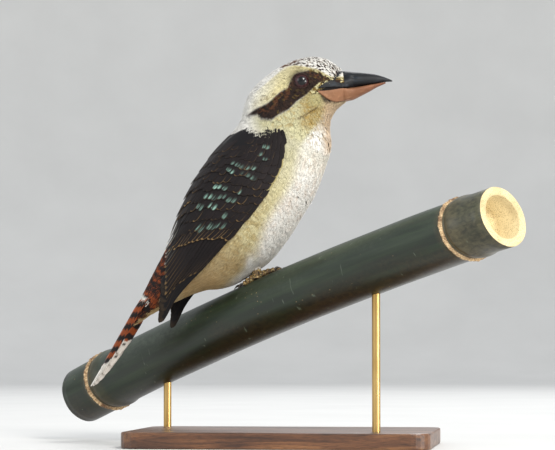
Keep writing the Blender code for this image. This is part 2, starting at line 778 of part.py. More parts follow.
def make_leg(side_name, along, turn, material, flesh_cut):
    foot, ankle, knee = leg_path(side_name, along, turn)
    start = ankle + (ankle - foot).normalized() * GAP
    rings = [tube_ring(start, (ankle - foot).normalized(), TARSUS_RADIUS)]
    for k in range(1, 5):
        radius = TARSUS_RADIUS + (THIGH_RADIUS - TARSUS_RADIUS) * (k / 4) ** 1.2
        rings.append(tube_ring(start.lerp(knee, k / 4), (knee - ankle).normalized(), radius))
    leg = loft("leg_" + side_name, rings, material)
    cut(leg, flesh_cut)
    smooth(leg, 50.0)


def make_stand(wood, brass, culm_cut):
    bpy.ops.mesh.primitive_cube_add(size=1.0, location=(0.0, 0.0, BASE_SIZE[2] / 2))
    base = bpy.context.object
    base.name = "stand_base"
    base.data.transform(Matrix.Diagonal((*BASE_SIZE, 1.0)))
    move_to_model(base, wood)
    upright = base.data.attributes.new("bevel_weight_edge", "FLOAT", "EDGE")
    for edge in base.data.edges:
        one, two = (base.data.vertices[k].co for k in edge.vertices)
        upright.data[edge.index].value = 1.0 if abs(one.z - two.z) > BASE_SIZE[2] / 2 else 0.0
    corner = base.modifiers.new("corners", "BEVEL")
    corner.limit_method = "WEIGHT"
    corner.width = BASE_CORNER
    corner.segments = 6
    edges = base.modifiers.new("edges", "BEVEL")
    edges.limit_method = "ANGLE"
    edges.angle_limit = math.radians(60)
    edges.width = 0.0015
    edges.segments = 2
    replace_mesh(base, evaluated_mesh(base))
    smooth(base)
    for name, along in RODS:
        top = culm_centre(along)
        low = BASE_SIZE[2] + GAP
        bpy.ops.mesh.primitive_cylinder_add(vertices=24, radius=ROD_RADIUS, depth=top.z - low,
                                            location=(top.x, top.y, (top.z + low) / 2))
        rod = bpy.context.object
        rod.name = "stand_rod_" + name
        rod.data.transform(rod.matrix_world)
        rod.matrix_world = Matrix()
        move_to_model(rod, brass)
        cut(rod, culm_cut)
        smooth(rod)


def move_to_model(obj, material):
    for group in list(obj.users_collection):
        group.objects.unlink(obj)
    KOOKABURRA.objects.link(obj)
    obj.data.materials.clear()
    obj.data.materials.append(material)


clear_scene()
KOOKABURRA = collection("kookaburra")
PLUMAGE = paint("pale_plumage", (0.70, 0.64, 0.50), 0.85)
WING_BROWN = paint("wing_brown", (0.035, 0.022, 0.022), 0.6)
TAIL_RUFOUS = paint("tail_rufous", (0.40, 0.13, 0.04), 0.6)
BILL_BLACK = paint("bill_black", (0.02, 0.025, 0.035), 0.35)
BILL_HORN = paint("bill_horn", (0.45, 0.24, 0.12), 0.4)
EYE_BROWN = paint("eye_brown", (0.02, 0.01, 0.008), 0.05)
FOOT_SCALES = paint("foot_scales", (0.30, 0.22, 0.11), 0.6)
BAMBOO_GREEN = paint("bamboo_green", (0.04, 0.12, 0.045), 0.4)
STAND_WOOD = paint("stand_wood", (0.16, 0.08, 0.04), 0.45)
STAND_BRASS = paint("stand_brass", (0.60, 0.44, 0.20), 0.3, 1.0)

FLESH = flesh_sections()
make_head(FLESH, PLUMAGE)
smooth(flesh_part("neck", FLESH, HEAD_END, NECK_END, 5, PLUMAGE))
smooth(flesh_part("torso", FLESH, NECK_END, TORSO_END, 14, PLUMAGE))
make_bill(BILL_BLACK, BILL_HORN)
for SIDE_NAME, SIDE in (("right", -1), ("left", 1)):
    smooth(ball("eye_" + SIDE_NAME, Vector((EYE_CENTRE.x, SIDE * EYE_CENTRE.y, EYE_CENTRE.z)), EYE_RADIUS,
                EYE_BROWN))

FLESH_CUT = flesh_cutter(FLESH, BACK_START, TAIL_CORE_END, 26)
for SIDE_NAME, SIDE in (("right", -1), ("left", 1)):
    make_wing(SIDE, "wing_" + SIDE_NAME, WING_BROWN, FLESH_CUT)
make_tail(FLESH, TAIL_RUFOUS)

make_culm(BAMBOO_GREEN)
CULM_CUT = culm_cutter()
for SIDE_NAME, ALONG, TURN in FEET:
    make_foot(SIDE_NAME, ALONG, TURN, FOOT_SCALES, CULM_CUT, FLESH_CUT)
    make_leg(SIDE_NAME, ALONG, TURN, PLUMAGE, FLESH_CUT)
make_stand(STAND_WOOD, STAND_BRASS, CULM_CUT)
remove(FLESH_CUT, CULM_CUT)
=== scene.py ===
import math

import bpy
import numpy as np
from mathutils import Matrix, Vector
from mathutils.bvhtree import BVHTree


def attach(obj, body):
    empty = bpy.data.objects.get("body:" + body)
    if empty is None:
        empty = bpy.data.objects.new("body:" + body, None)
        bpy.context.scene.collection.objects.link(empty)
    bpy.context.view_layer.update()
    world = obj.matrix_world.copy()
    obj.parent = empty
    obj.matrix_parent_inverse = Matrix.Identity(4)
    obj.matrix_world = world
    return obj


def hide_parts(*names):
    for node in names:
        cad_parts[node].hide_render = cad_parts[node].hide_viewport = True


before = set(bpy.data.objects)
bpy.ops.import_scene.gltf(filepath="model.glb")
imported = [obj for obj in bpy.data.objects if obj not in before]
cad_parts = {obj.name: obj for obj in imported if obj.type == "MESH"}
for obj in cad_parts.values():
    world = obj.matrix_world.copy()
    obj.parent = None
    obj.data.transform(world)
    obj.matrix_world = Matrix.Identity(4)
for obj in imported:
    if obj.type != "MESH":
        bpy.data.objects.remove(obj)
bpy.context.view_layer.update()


# Display base: a slab of stained hardwood with eased edges, which stands flat on the floor. Its grain
# runs along the board, under a satin oil finish.
def tone(red, green, blue):
    """A colour given as on a paint chart, 0 to 255, in the linear values that shaders and meshes hold."""
    share = np.array((red, green, blue)) / 255
    return np.where(share > 0.04045, ((share + 0.055) / 1.055) ** 2.4, share / 12.92)


def finish(name, colour, roughness, **sockets):
    """A material whose Principled shader has these values."""
    material = bpy.data.materials.new(name)
    material.use_nodes = True
    shader = material.node_tree.nodes["Principled BSDF"]
    shader.inputs["Base Color"].default_value = (*colour, 1.0)
    shader.inputs["Roughness"].default_value = roughness
    for socket, value in sockets.items():
        shader.inputs[socket.replace("_", " ")].default_value = value
    return material


def wire(material, kind, inputs=None, **settings):
    """Adds a node to a material; its inputs are values, or other nodes' outputs."""
    made = material.node_tree.nodes.new("ShaderNode" + kind)
    for name, value in settings.items():
        setattr(made, name, value)
    for name, value in (inputs or {}).items():
        if isinstance(value, bpy.types.NodeSocket):
            material.node_tree.links.new(value, made.inputs[name])
        else:
            made.inputs[name].default_value = value
    return made


def stretched(material, where, stretch):
    """Places drawn out along their axes."""
    return wire(material, "Mapping", {"Vector": where, "Scale": stretch}).outputs["Vector"]


def place(material, stretch=(1.0, 1.0, 1.0)):
    """Places on the object in metres, drawn out along its axes."""
    return stretched(material, wire(material, "TexCoord").outputs["Object"], stretch)


def mottle(material, where, scale, detail=4.0, distortion=0.0):
    return wire(material, "TexNoise", {"Vector": where, "Scale": scale, "Detail": detail,
                                       "Distortion": distortion}).outputs["Fac"]


def shades(material, amount, *stops):
    """Colours or greys along an amount from 0 to 1."""
    ramp = wire(material, "ValToRGB", {"Fac": amount})
    while len(ramp.color_ramp.elements) < len(stops):
        ramp.color_ramp.elements.new(0.5)
    for element, (at, colour) in zip(ramp.color_ramp.elements, stops):
        element.position = at
        element.color = (*colour, 1.0) if hasattr(colour, "__len__") else (colour, colour, colour, 1.0)
    return ramp.outputs["Color"]


def mixed(material, first, second, amount, blend="MIX"):
    """Two colours mixed; each is a colour or an output."""
    mix = wire(material, "Mix", data_type="RGBA", blend_type=blend)
    for slot, value in ((0, amount), (6, first), (7, second)):
        if isinstance(value, bpy.types.NodeSocket):
            material.node_tree.links.new(value, mix.inputs[slot])
        elif slot == 0:
            mix.inputs[slot].default_value = value
        else:
            mix.inputs[slot].default_value = (*value, 1.0)
    return mix.outputs[2]


def dress(material, colour=None, roughness=None, height=None, depth=0.0003):
    """Leads outputs to the Principled shader; height is a relief of this depth in metres."""
    shader = material.node_tree.nodes["Principled BSDF"]
    if colour:
        material.node_tree.links.new(colour, shader.inputs["Base Color"])
    if roughness:
        material.node_tree.links.new(roughness, shader.inputs["Roughness"])
    if height:
        bump = wire(material, "Bump", {"Height": height, "Distance": depth, "Strength": 1.0})
        material.node_tree.links.new(bump.outputs["Normal"], shader.inputs["Normal"])
    return material


def cover(node, material):
    """Gives a CAD node that stays a finer finish."""
    node.data.materials.clear()
    node.data.materials.append(material)


def base_wood():
    wood = finish("oiled_walnut", tone(92, 58, 36), 0.4, Coat_Weight=0.25, Coat_Roughness=0.3)
    board = place(wood, (1.0, 14.0, 14.0))
    figure = mottle(wood, board, 9.0, 5.0, 1.2)
    pores = mottle(wood, place(wood, (12.0, 260.0, 260.0)), 9.0, 3.0)
    colour = shades(wood, figure, (0.30, tone(58, 34, 20)), (0.48, tone(98, 62, 38)),
                    (0.66, tone(132, 90, 56)))
    colour = mixed(wood, colour, shades(wood, pores, (0.38, 0.25), (0.52, 1.0)), 0.7, "MULTIPLY")
    gloss = shades(wood, figure, (0.3, 0.46), (0.7, 0.34))
    return dress(wood, colour, gloss, pores, 0.00012)


cover(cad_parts["stand_base"], base_wood())


# Two stand rods: drawn brass, brushed along their length and a little tarnished, pressed into the base
# and pinned up into the bamboo.
def rod_brass():
    brass = finish("brushed_brass", tone(196, 158, 92), 0.3, Metallic=1.0)
    brushing = mottle(brass, place(brass, (1.0, 1.0, 0.01)), 1800.0, 2.0)
    tarnish = mottle(brass, place(brass, (1.0, 1.0, 0.4)), 45.0, 4.0)
    colour = shades(brass, tarnish, (0.3, tone(176, 138, 78)), (0.65, tone(208, 174, 112)))
    gloss = shades(brass, tarnish, (0.3, 0.38), (0.7, 0.27))
    return dress(brass, colour, gloss, brushing, 0.00001)


BRASS = rod_brass()
cover(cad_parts["stand_rod_low"], BRASS)
cover(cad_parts["stand_rod_high"], BRASS)


# Bamboo perch: a short cut length of a giant green culm with two joints. Each joint has the corky scar
# where a sheath fell and a swelling above it; the sawn ends are hollow to the plate that closes a joint.
CULM_CENTRE = Vector((-0.023, 0.0, 0.1357))
CULM_HEADING = math.radians(-33.0)
CULM_CLIMB = math.radians(17.8)
CULM_ALONG = Vector((math.cos(CULM_CLIMB) * math.cos(CULM_HEADING),
                     math.cos(CULM_CLIMB) * math.sin(CULM_HEADING), math.sin(CULM_CLIMB)))
CULM_UP = (Vector((0.0, 0.0, 1.0)) - CULM_ALONG * CULM_ALONG.z).normalized()
CULM_NEAR = CULM_ALONG.cross(CULM_UP)
CULM_RADIUS = 0.0295
CULM_ENDS = (-0.262, 0.303)
CULM_BOW_RADIUS = 4.2
CULM_NODES = (-0.220, 0.261)
CULM_NODE_SKEW = 0.28
CULM_WALL = 0.0085
PLATE_SETBACK = 0.012
CULM_FACETS = 120
RIND_WAVES = ((0.00012, 3, 30), (0.00008, 8, -60))
SCAR_RIDGE = 0.0023
SCAR_HALF = 0.0016
JOINT_RELIEF = (
    # height, place past the joint, half width
    (0.0006, -0.0030, 0.0010),
    (0.0016, 0.010, 0.006),
    (-0.0009, 0.0040, 0.0015),
)
LIP = 0.0005
RIND, SCAR, CUT = 0, 1, 2


def grid_faces(rows, columns):
    """Quads of a net of points, closed round its columns, as an array of corner numbers."""
    row, column = np.meshgrid(np.arange(rows - 1), np.arange(columns), indexing="ij")
    beside = (column + 1) % columns
    quads = np.stack((row * columns + column, row * columns + beside,
                      (row + 1) * columns + beside, (row + 1) * columns + column), axis=-1)
    return quads.reshape(-1, 4)


def capped(rows, columns):
    """Faces of a tube of points, rows long and columns round, closed at both ends."""
    last = (rows - 1) * columns
    ends = (list(range(columns))[::-1], list(range(last, last + columns)))
    return [*grid_faces(rows, columns).tolist(), *ends]


def add_object(name, data):
    made = bpy.data.objects.new(name, data)
    bpy.context.scene.collection.objects.link(made)
    return made


def clothed(name, mesh, *materials):
    """An object with these materials, which rides on the model's one body."""
    made = add_object(name, mesh)
    for material in materials:
        mesh.materials.append(material)
    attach(made, "root")
    return made


def piece(name, points, faces, *materials):
    """A smooth object from points and faces."""
    mesh = bpy.data.meshes.new(name)
    mesh.from_pydata(np.asarray(points).reshape(-1, 3).tolist(), [], [list(face) for face in faces])
    mesh.validate()
    mesh.shade_smooth()
    return clothed(name, mesh, *materials)


def note(made, name, values):
    """Stores a colour or a direction at each point of a piece."""
    values = np.asarray(values, np.float32)
    if values.shape[1] == 4:
        made.data.attributes.new(name, "FLOAT_COLOR", "POINT").data.foreach_set("color", values.ravel())
    else:
        made.data.attributes.new(name, "FLOAT_VECTOR", "POINT").data.foreach_set("vector", values.ravel())


def culm_point(along, turn, radius, slant=0.0):
    """A point on the bowed culm, by distance from its middle and turn from its upper side."""
    centre = CULM_CENTRE + CULM_ALONG * (along + slant) - CULM_UP * (along * along / (2 * CULM_BOW_RADIUS))
    return centre + (CULM_UP * math.cos(turn) + CULM_NEAR * math.sin(turn)) * radius


def culm_radius(along, turn):
    """Each joint has a ragged scar ridge, a step below it, and a groove and a swelling above it."""
    radius = CULM_RADIUS
    for number, node in enumerate(CULM_NODES):
        off = along - node
        ragged = 1.0 + 0.22 * math.sin(7 * turn + number) * math.sin(17 * turn) + 0.12 * math.sin(41 * turn)
        radius += SCAR_RIDGE * ragged * math.exp(-(off / 0.0013) ** 4)
        for height, place_past, half in JOINT_RELIEF:
            radius += height * math.exp(-((off - place_past) / half) ** 2)
    return radius + sum(height * math.sin(around * turn + run * along) for height, around, run in RIND_WAVES)


def culm_slant(along, turn, radius):
    near = radius * math.sin(turn)
    return -CULM_NODE_SKEW * near * max(math.exp(-((along - node) / 0.045) ** 4) for node in CULM_NODES)


def culm_stations():
    stations = set(np.linspace(*CULM_ENDS, 60).round(4))
    for node in CULM_NODES:
        stations |= set(np.linspace(node - 0.007, node + 0.020, 46).round(5))
    return sorted(stations)


def stored(material, name, kind="Vector"):
    """The directions or colours that a mesh stores under this name."""
    return wire(material, "Attribute", attribute_name=name).outputs[kind]


def progress(material, value, low, high):
    """How far a value is on its way from low to high, from 0 to 1."""
    return wire(material, "MapRange", {"Value": value, "From Min": low, "From Max": high}).outputs[0]


def times(material, first, second):
    """Two amounts multiplied."""
    return wire(material, "Math", {0: first, 1: second}, operation="MULTIPLY").outputs[0]


def bamboo_skin():
    """Dark green rind, browner beside each joint. Grey wax lies heavier on the upper side, partly as painted
    light, and painted shade darkens the lower side to brown.
    """
    rind = finish("bamboo_rind", tone(58, 82, 48), 0.45, Coat_Weight=0.15, Coat_Roughness=0.3)
    grain = stored(rind, "grain")
    parts = wire(rind, "SeparateXYZ", {"Vector": grain})
    along = parts.outputs["Z"]
    fibres = mottle(rind, stretched(rind, grain, (1.0, 1.0, 0.02)), 1400.0, 3.0)
    streak = mottle(rind, stretched(rind, grain, (1.0, 1.0, 0.06)), 160.0, 6.0, 0.2)
    cloud = mottle(rind, stretched(rind, grain, (1.0, 1.0, 0.45)), 26.0, 8.0, 0.6)
    fine = mottle(rind, stretched(rind, grain, (1.0, 1.0, 0.8)), 300.0, 10.0, 0.5)
    side = progress(rind, parts.outputs["X"], -0.03, 0.03)
    green = shades(rind, streak, (0.34, tone(14, 27, 11)), (0.5, tone(21, 36, 17)), (0.68, tone(34, 49, 26)))
    # painted shade: below, the rind turns to this dark brown; it stays green where the upper side is lit
    brown = shades(rind, fine, (0.35, tone(20, 16, 8)), (0.62, tone(50, 41, 22)))
    light_and_cloud = wire(rind, "Math", {0: side, 1: cloud}, operation="ADD").outputs[0]
    colour = mixed(rind, brown, green, shades(rind, light_and_cloud, (0.50, 0.0), (0.86, 1.0)))
    # grey wax, partly painted light: it is laid heavier on the upper side, where the light falls
    waxed_and_lit = times(rind, cloud, side)
    wax = shades(rind, fine, (0.3, tone(66, 78, 62)), (0.65, tone(108, 118, 100)))
    lit_bloom = times(rind, shades(rind, waxed_and_lit, (0.26, 0.0), (0.62, 0.75)),
                  shades(rind, progress(rind, along, 0.02, -0.17), (0.0, 0.45), (1.0, 1.0)))
    colour = mixed(rind, colour, wax, lit_bloom)
    beyond = shades(rind, progress(rind, along, CULM_NODES[1], CULM_ENDS[1]), (0.0, 0.0), (0.15, 0.8))
    worn = times(rind, beyond, shades(rind, cloud, (0.35, 0.3), (0.6, 1.0)))
    bare = shades(rind, fine, (0.35, tone(46, 42, 26)), (0.65, tone(86, 80, 56)))
    colour = mixed(rind, colour, bare, worn)
    colour = mixed(rind, colour, shades(rind, fibres, (0.35, 0.80), (0.6, 1.0)), 0.8, "MULTIPLY")
    for node in CULM_NODES:
        off = wire(rind, "Math", {0: along, 1: node}, operation="SUBTRACT").outputs[0]
        band = shades(rind, progress(rind, off, -0.04, 0.06),
                      (0.30, 0.0), (0.39, 0.75), (0.44, 0.85), (0.62, 0.0))
        colour = mixed(rind, colour, tone(92, 78, 48), times(rind, band, fine))
    cells = wire(rind, "TexVoronoi", {"Vector": stretched(rind, grain, (1.0, 1.0, 0.6)), "Scale": 260.0})
    specks = shades(rind, cells.outputs["Distance"], (0.07, 1.0), (0.15, 0.0))
    patches = shades(rind, mottle(rind, grain, 30.0, 3.0), (0.57, 0.0), (0.64, 0.9))
    colour = mixed(rind, colour, tone(168, 142, 96), times(rind, specks, patches))
    slanting = wire(rind, "Mapping", {"Vector": grain, "Scale": (0.1, 1.0, 1.0), "Rotation": (0.0, 0.0, 0.5)})
    scratch = mottle(rind, slanting.outputs[0], 190.0, 2.0)
    colour = mixed(rind, colour, tone(120, 132, 112), shades(rind, scratch, (0.70, 0.0), (0.76, 0.4)))
    gloss = shades(rind, waxed_and_lit, (0.2, 0.36), (0.5, 0.60))
    return dress(rind, colour, gloss, fine, 0.00008)


def bamboo_scar():
    """Corky ring that a fallen sheath leaves."""
    scar = finish("sheath_scar", tone(150, 112, 72), 0.85)
    grain = stored(scar, "grain")
    fibres = mottle(scar, stretched(scar, grain, (1.0, 1.0, 0.2)), 700.0, 5.0)
    stain = mottle(scar, grain, 80.0, 4.0)
    colour = mixed(scar, shades(scar, fibres, (0.3, tone(120, 84, 52)), (0.7, tone(222, 194, 150))),
                   tone(78, 50, 32), shades(scar, stain, (0.48, 0.0), (0.7, 0.8)))
    return dress(scar, colour, None, fibres, 0.0004)


def bamboo_wood():
    """Sawn wall and the hollow inside: pale wood with dark bundles of fibre."""
    wood = finish("bamboo_cut", tone(206, 186, 138), 0.75)
    grain = stored(wood, "grain")
    bundles = wire(wood, "TexVoronoi", {"Vector": grain, "Scale": 900.0}).outputs["Distance"]
    dots = shades(wood, bundles, (0.16, tone(120, 92, 56)), (0.36, tone(214, 196, 150)))
    shade = mottle(wood, grain, 40.0)
    colour = mixed(wood, dots, tone(150, 124, 80), shades(wood, shade, (0.45, 0.0), (0.7, 0.5)))
    return dress(wood, colour, None, bundles, 0.0001)


def hollow(end, node, outward):
    """Places and radii from the middle of the plate that closes a joint out over the sawn rim."""
    inner = CULM_RADIUS - CULM_WALL
    plate = node + outward * PLATE_SETBACK
    return [(plate, 0.0002, CUT), (plate, inner * 0.5, CUT), (plate + outward * 0.0012, inner * 0.85, CUT),
            (plate + outward * 0.004, inner, CUT), (end - outward * 0.001, inner + 0.0003, CUT),
            (end, inner + 0.001, CUT), (end, CULM_RADIUS - 0.004, CUT), (end, CULM_RADIUS - LIP, CUT)]


def make_culm():
    profile = hollow(CULM_ENDS[0], CULM_NODES[0], -1)
    for along in culm_stations():
        scarred = any(abs(along - node) < SCAR_HALF for node in CULM_NODES)
        profile.append((along, None, SCAR if scarred else RIND))
    profile += hollow(CULM_ENDS[1], CULM_NODES[1], 1)[::-1]
    points, grain = [], []
    for along, radius, _ in profile:
        for k in range(CULM_FACETS):
            turn = math.tau * k / CULM_FACETS
            reach = culm_radius(along, turn) if radius is None else radius
            if radius is None and min(along - CULM_ENDS[0], CULM_ENDS[1] - along) < 0.0001:
                reach -= LIP * 0.3
            points.append(culm_point(along, turn, reach, culm_slant(along, turn, reach)))
            grain.append((reach * math.cos(turn), reach * math.sin(turn), along))
    culm = piece("bamboo_culm", [tuple(p) for p in points], capped(len(profile), CULM_FACETS),
                 bamboo_skin(), bamboo_scar(), bamboo_wood())
    finishes = [max(one[2], two[2]) for one, two in zip(profile, profile[1:])]
    finishes = np.append(np.repeat(finishes, CULM_FACETS), (CUT, CUT))
    culm.data.polygons.foreach_set("material_index", finishes.astype(np.int32))
    note(culm, "grain", grain)
    return culm


CULM = make_culm()
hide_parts("perch_culm")


# Feet: two scaly yellow-brown feet that grip the culm, each with three toes ahead and one behind, and
# hooked dark claws. The front toes are joined for part of their length, as all kingfishers' are.
TOE_RADIUS = 0.0038
FEET = (
    # side, its sign, place along the culm, turn round it from its top
    ("right", -1, 0.010, 16.0),
    ("left", 1, -0.008, -17.0),
)
TOES = (
    # spread from straight ahead, length
    (0.0, 0.027),
    (-24.0, 0.022),
    (27.0, 0.018),
    (180.0, 0.015),
)
CLAW_LENGTH = 0.008
CLAW_RADIUS = 0.0017
SCUTE_LENGTH = 0.0017
ANKLE_HEIGHT = 0.0085
TARSUS_RADIUS = 0.0046
TOE_HEADING = math.atan2(CULM_NEAR.x, CULM_ALONG.x)
TOE_STEP = 0.0004
CLAW_RINGS = 16
FOOT_FACETS = 20


def ring_round(middle, ahead, up, wide, high, count, relief=None):
    """Points of one section of a tube that runs ahead."""
    across = ahead.cross(up).normalized()
    ring = []
    for k in range(count):
        turn = math.tau * k / count
        swell = relief(turn) if relief else 0.0
        over = up * ((high + swell) * math.cos(turn))
        ring.append(middle + over + across * ((wide + swell) * math.sin(turn)))
    return ring


def tube(rings):
    """Points and faces of a closed tube through these rings."""
    return [tuple(p) for ring in rings for p in ring], capped(len(rings), len(rings[0]))


def joined(parts):
    """Several lists of points and faces as one."""
    points, faces = [], []
    for part_points, part_faces in parts:
        faces += [[corner + len(points) for corner in face] for face in part_faces]
        points += part_points
    return points, faces


def toe_place(along, turn, heading, run, lift):
    round_culm = turn + run * math.sin(heading) / (CULM_RADIUS + TOE_RADIUS)
    return culm_point(along + run * math.cos(heading), round_culm, CULM_RADIUS + lift)


def scutes(run):
    """The relief round a toe at this distance from its root: scutes over the top, fine grain below."""
    step = abs(math.sin(math.pi * run / SCUTE_LENGTH)) ** 0.5

    def relief(around):
        scute = 0.00028 * (step - 1.0) * max(0.0, math.cos(around)) ** 0.5
        grain = 0.00007 * math.sin(9 * around + 4000 * run) * (1 - max(0.0, math.cos(around)))
        return scute + grain

    return relief


def toe_rings(along, turn, heading, length, claw):
    """The toe's sections from its root, or its claw's: scutes cross the top and pads swell below."""
    runs = np.arange(0.0, length * 1.02, TOE_STEP)
    if claw:
        runs = np.linspace(length * 0.98, length + CLAW_LENGTH, CLAW_RINGS)
    rings = []
    for run in runs:
        share = min(run / length, 1.0)
        hook = max(0.0, (run - length) / CLAW_LENGTH)
        pad = TOE_RADIUS * (1.0 - 0.30 * share + 0.08 * math.cos(share * 3 * math.tau))
        arch = 0.0
        if claw:
            pad = CLAW_RADIUS * max(0.0, 1.0 - hook) ** 0.8 + 0.00018
            arch = 0.0024 * math.sin(math.pi * hook) * (1 - 0.3 * hook)
        elif run > length * 0.9:
            pad *= 1.0 - 0.35 * ((run - length * 0.9) / (length * 0.12)) ** 2
        lift = max(pad * 0.8, 0.0006) + arch
        middle = toe_place(along, turn, heading, run, lift)
        ahead = (toe_place(along, turn, heading, run + 0.001, lift) - middle).normalized()
        up = (toe_place(along, turn, heading, run, lift + 0.001) - middle).normalized()
        relief = None if claw else scutes(run)
        rings.append(ring_round(middle, ahead, up, pad, pad * 0.94, FOOT_FACETS, relief))
    return rings


def foot_scales():
    scales = finish("foot_scales", tone(150, 122, 74), 0.5, Subsurface_Weight=0.1, Subsurface_Scale=1.0,
                    Subsurface_Radius=(0.002, 0.001, 0.0005))
    cells = wire(scales, "TexVoronoi", {"Vector": place(scales), "Scale": 620.0},
                 feature="DISTANCE_TO_EDGE").outputs["Distance"]
    dirt = mottle(scales, place(scales), 420.0, 5.0)
    worn = shades(scales, dirt, (0.36, tone(44, 30, 20)), (0.50, tone(146, 112, 58)),
                  (0.66, tone(206, 186, 128)))
    colour = mixed(scales, worn, tone(28, 20, 14), shades(scales, cells, (0.03, 0.95), (0.16, 0.0)))
    return dress(scales, colour, None, shades(scales, cells, (0.0, 0.0), (0.16, 1.0)), 0.0002)


def claw_horn():
    horn = finish("claw_horn", tone(44, 36, 32), 0.28, Coat_Weight=0.3)
    streaks = mottle(horn, place(horn, (1.0, 1.0, 0.3)), 900.0, 3.0)
    colour = shades(horn, streaks, (0.35, tone(28, 22, 20)), (0.7, tone(84, 70, 58)))
    return dress(horn, colour, None, streaks, 0.00003)


SCALES = foot_scales()
HORN = claw_horn()
for side_name, side, along, turn in FEET:
    turn = math.radians(turn)
    foot_place = culm_point(along, turn, CULM_RADIUS)
    toes, claws = [], []
    for spread, length in TOES:
        heading = TOE_HEADING + side * math.radians(spread)
        toes.append(tube(toe_rings(along, turn, heading, length, False)))
        claws.append(tube(toe_rings(along, turn, heading, length, True)))
    shank = []
    for share in np.linspace(0.12, 1.25, 22):
        scute = 0.00022 * (abs(math.sin(share * 14)) ** 0.5 - 1.0)
        width = TARSUS_RADIUS * (1.0 + 0.25 * math.exp(-(share / 0.45) ** 2)) + scute
        middle = foot_place + Vector((-0.001 * share, 0.0, ANKLE_HEIGHT * share))
        shank.append(ring_round(middle, Vector((0.0, 0.0, 1.0)), Vector((1.0, 0.0, 0.0)), width, width,
                                FOOT_FACETS))
    foot = piece("foot_skin_" + side_name, *joined([tube(shank), *toes]), SCALES)
    talons = piece("claws_" + side_name, *joined(claws), HORN)
    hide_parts("foot_" + side_name)


# Skin: one tanned skin over the manikin from the face to the root of the tail. It lies inside the
# feathers' outline by the depth of the coat, and its markings are the coat's own darkened by a quarter as
# painted shade, so no gap shows pale.
SPINE = (
    # station, x, z, lean in degrees
    (0.15, 0.0604, 0.3589, -8.6),
    (2, 0.0465, 0.3606, -12.1),
    (4, 0.0267, 0.3540, -32.8),
    (6, 0.0096, 0.3386, -55.5),
    (8, 0.0027, 0.3186, -67.1),
    (10, -0.0052, 0.2963, -67.9),
    (11, -0.0135, 0.2786, -55.0),
    (14, -0.0470, 0.2288, -55.0),
    (16, -0.0695, 0.1982, -55.0),
    (18, -0.0920, 0.1761, -55.0),
    (20, -0.1162, 0.1601, -55.0),
    (22.6, -0.1429, 0.1345, -55.0),
)
TAIL_STATION = 18.0
SKIN_RUNS = 200
SKIN_TURNS = 144
# the coat's depth at stations of the spine
COAT_DEPTH = ((0.0, 0.0010), (3.0, 0.0016), (5.0, 0.0026), (8.0, 0.0036), (12.0, 0.0045), (17.0, 0.0042),
              (20.0, 0.0024), (22.6, 0.0010))
WRIST = np.array((-0.002, 0.0, 0.295))
TAILWARD = np.array((-0.5736, 0.0, -0.8192))
SIDE_MIDDLE = (-0.0075, 0.220)
SIDE_DISTANCE = 2.4


def tree_of(*names):
    """A search tree of these CAD nodes' faces."""
    points, faces = [], []
    for name in names:
        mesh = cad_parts[name].data
        faces += [[corner + len(points) for corner in face.vertices] for face in mesh.polygons]
        points += [vertex.co.copy() for vertex in mesh.vertices]
    return BVHTree.FromPolygons(points, faces)


def smoothed(values, rounds):
    """Evens a net of values out, round its columns and along its rows."""
    for _ in range(rounds):
        values = (np.roll(values, 1, 1) + 2 * values + np.roll(values, -1, 1)) / 4
        between = (values[:-2] + 2 * values[1:-1] + values[2:]) / 4
        values = np.concatenate((values[:1], between, values[-1:]))
    return values


def sound_the_form():
    """Finds the flesh's outer surface by rays round a line through the bird, section by section."""
    flesh = tree_of("head", "neck", "torso", "eye_left", "eye_right")
    rump = tree_of("tail")
    spine = np.array(SPINE)
    stations = np.linspace(spine[0, 0], spine[-1, 0], SKIN_RUNS)
    centres = np.stack([np.interp(stations, spine[:, 0], spine[:, k]) for k in (1, 2)], axis=1)
    leans = np.radians(np.interp(stations, spine[:, 0], spine[:, 3]))
    reach = np.full((SKIN_RUNS, SKIN_TURNS), np.nan)
    rays = np.zeros((SKIN_RUNS, SKIN_TURNS, 3))
    for row, (station, (x, z), lean) in enumerate(zip(stations, centres, leans)):
        centre = Vector((x, 0.0, z))
        up = Vector((math.sin(lean), 0.0, math.cos(lean)))
        for column in range(SKIN_TURNS):
            turn = math.tau * column / SKIN_TURNS
            ray = up * math.cos(turn) + Vector((0.0, math.sin(turn), 0.0))
            rays[row, column] = ray
            if station <= TAIL_STATION:
                hit = flesh.ray_cast(centre + ray * 0.12, -ray, 0.13)[0]
            else:
                hit = rump.ray_cast(centre, ray, 0.05)[0]
            if hit:
                reach[row, column] = (hit - centre).length
    for row in range(SKIN_RUNS):
        known = np.isfinite(reach[row])
        columns = np.arange(SKIN_TURNS)
        reach[row] = np.interp(columns, columns[known], reach[row][known], period=SKIN_TURNS)
    middles = np.stack((centres[:, 0], np.zeros(SKIN_RUNS), centres[:, 1]), axis=1)[:, None, :]
    return stations, middles, rays, smoothed(reach, 5)


STATIONS, MIDDLES, RAYS, REACH = sound_the_form()
OUTER = MIDDLES + RAYS * REACH[..., None]
VENT_RUNS = 34


def with_vent(points):
    """The form drawn out under the tail to a point, where only feather tips reach."""
    step = (points[-1] - points[-2]).mean(axis=0)
    upper = points[-1, 0]
    more = []
    for k in range(1, VENT_RUNS + 1):
        shrink = 1 - 0.86 * k / VENT_RUNS
        more.append(upper + (points[-1] - upper) * shrink + step * k)
    return np.concatenate((points, np.array(more)))


def form_of(points, rays):
    """A form's outer surface as nets: its points, its steps along and round, and its outward direction."""
    along = np.gradient(points, axis=0)
    around = (np.roll(points, -1, 1) - np.roll(points, 1, 1)) / 2
    outward = np.cross(along, around)
    outward *= np.sign((outward * rays).sum(-1, keepdims=True))
    outward /= np.linalg.norm(outward, axis=-1, keepdims=True)
    return {"points": points, "along": along, "around": around, "outward": outward}


BODY = form_of(with_vent(OUTER), np.concatenate((RAYS, np.repeat(RAYS[-1:], VENT_RUNS, axis=0))))


def station_at(run):
    return np.interp(run, np.arange(SKIN_RUNS), STATIONS)


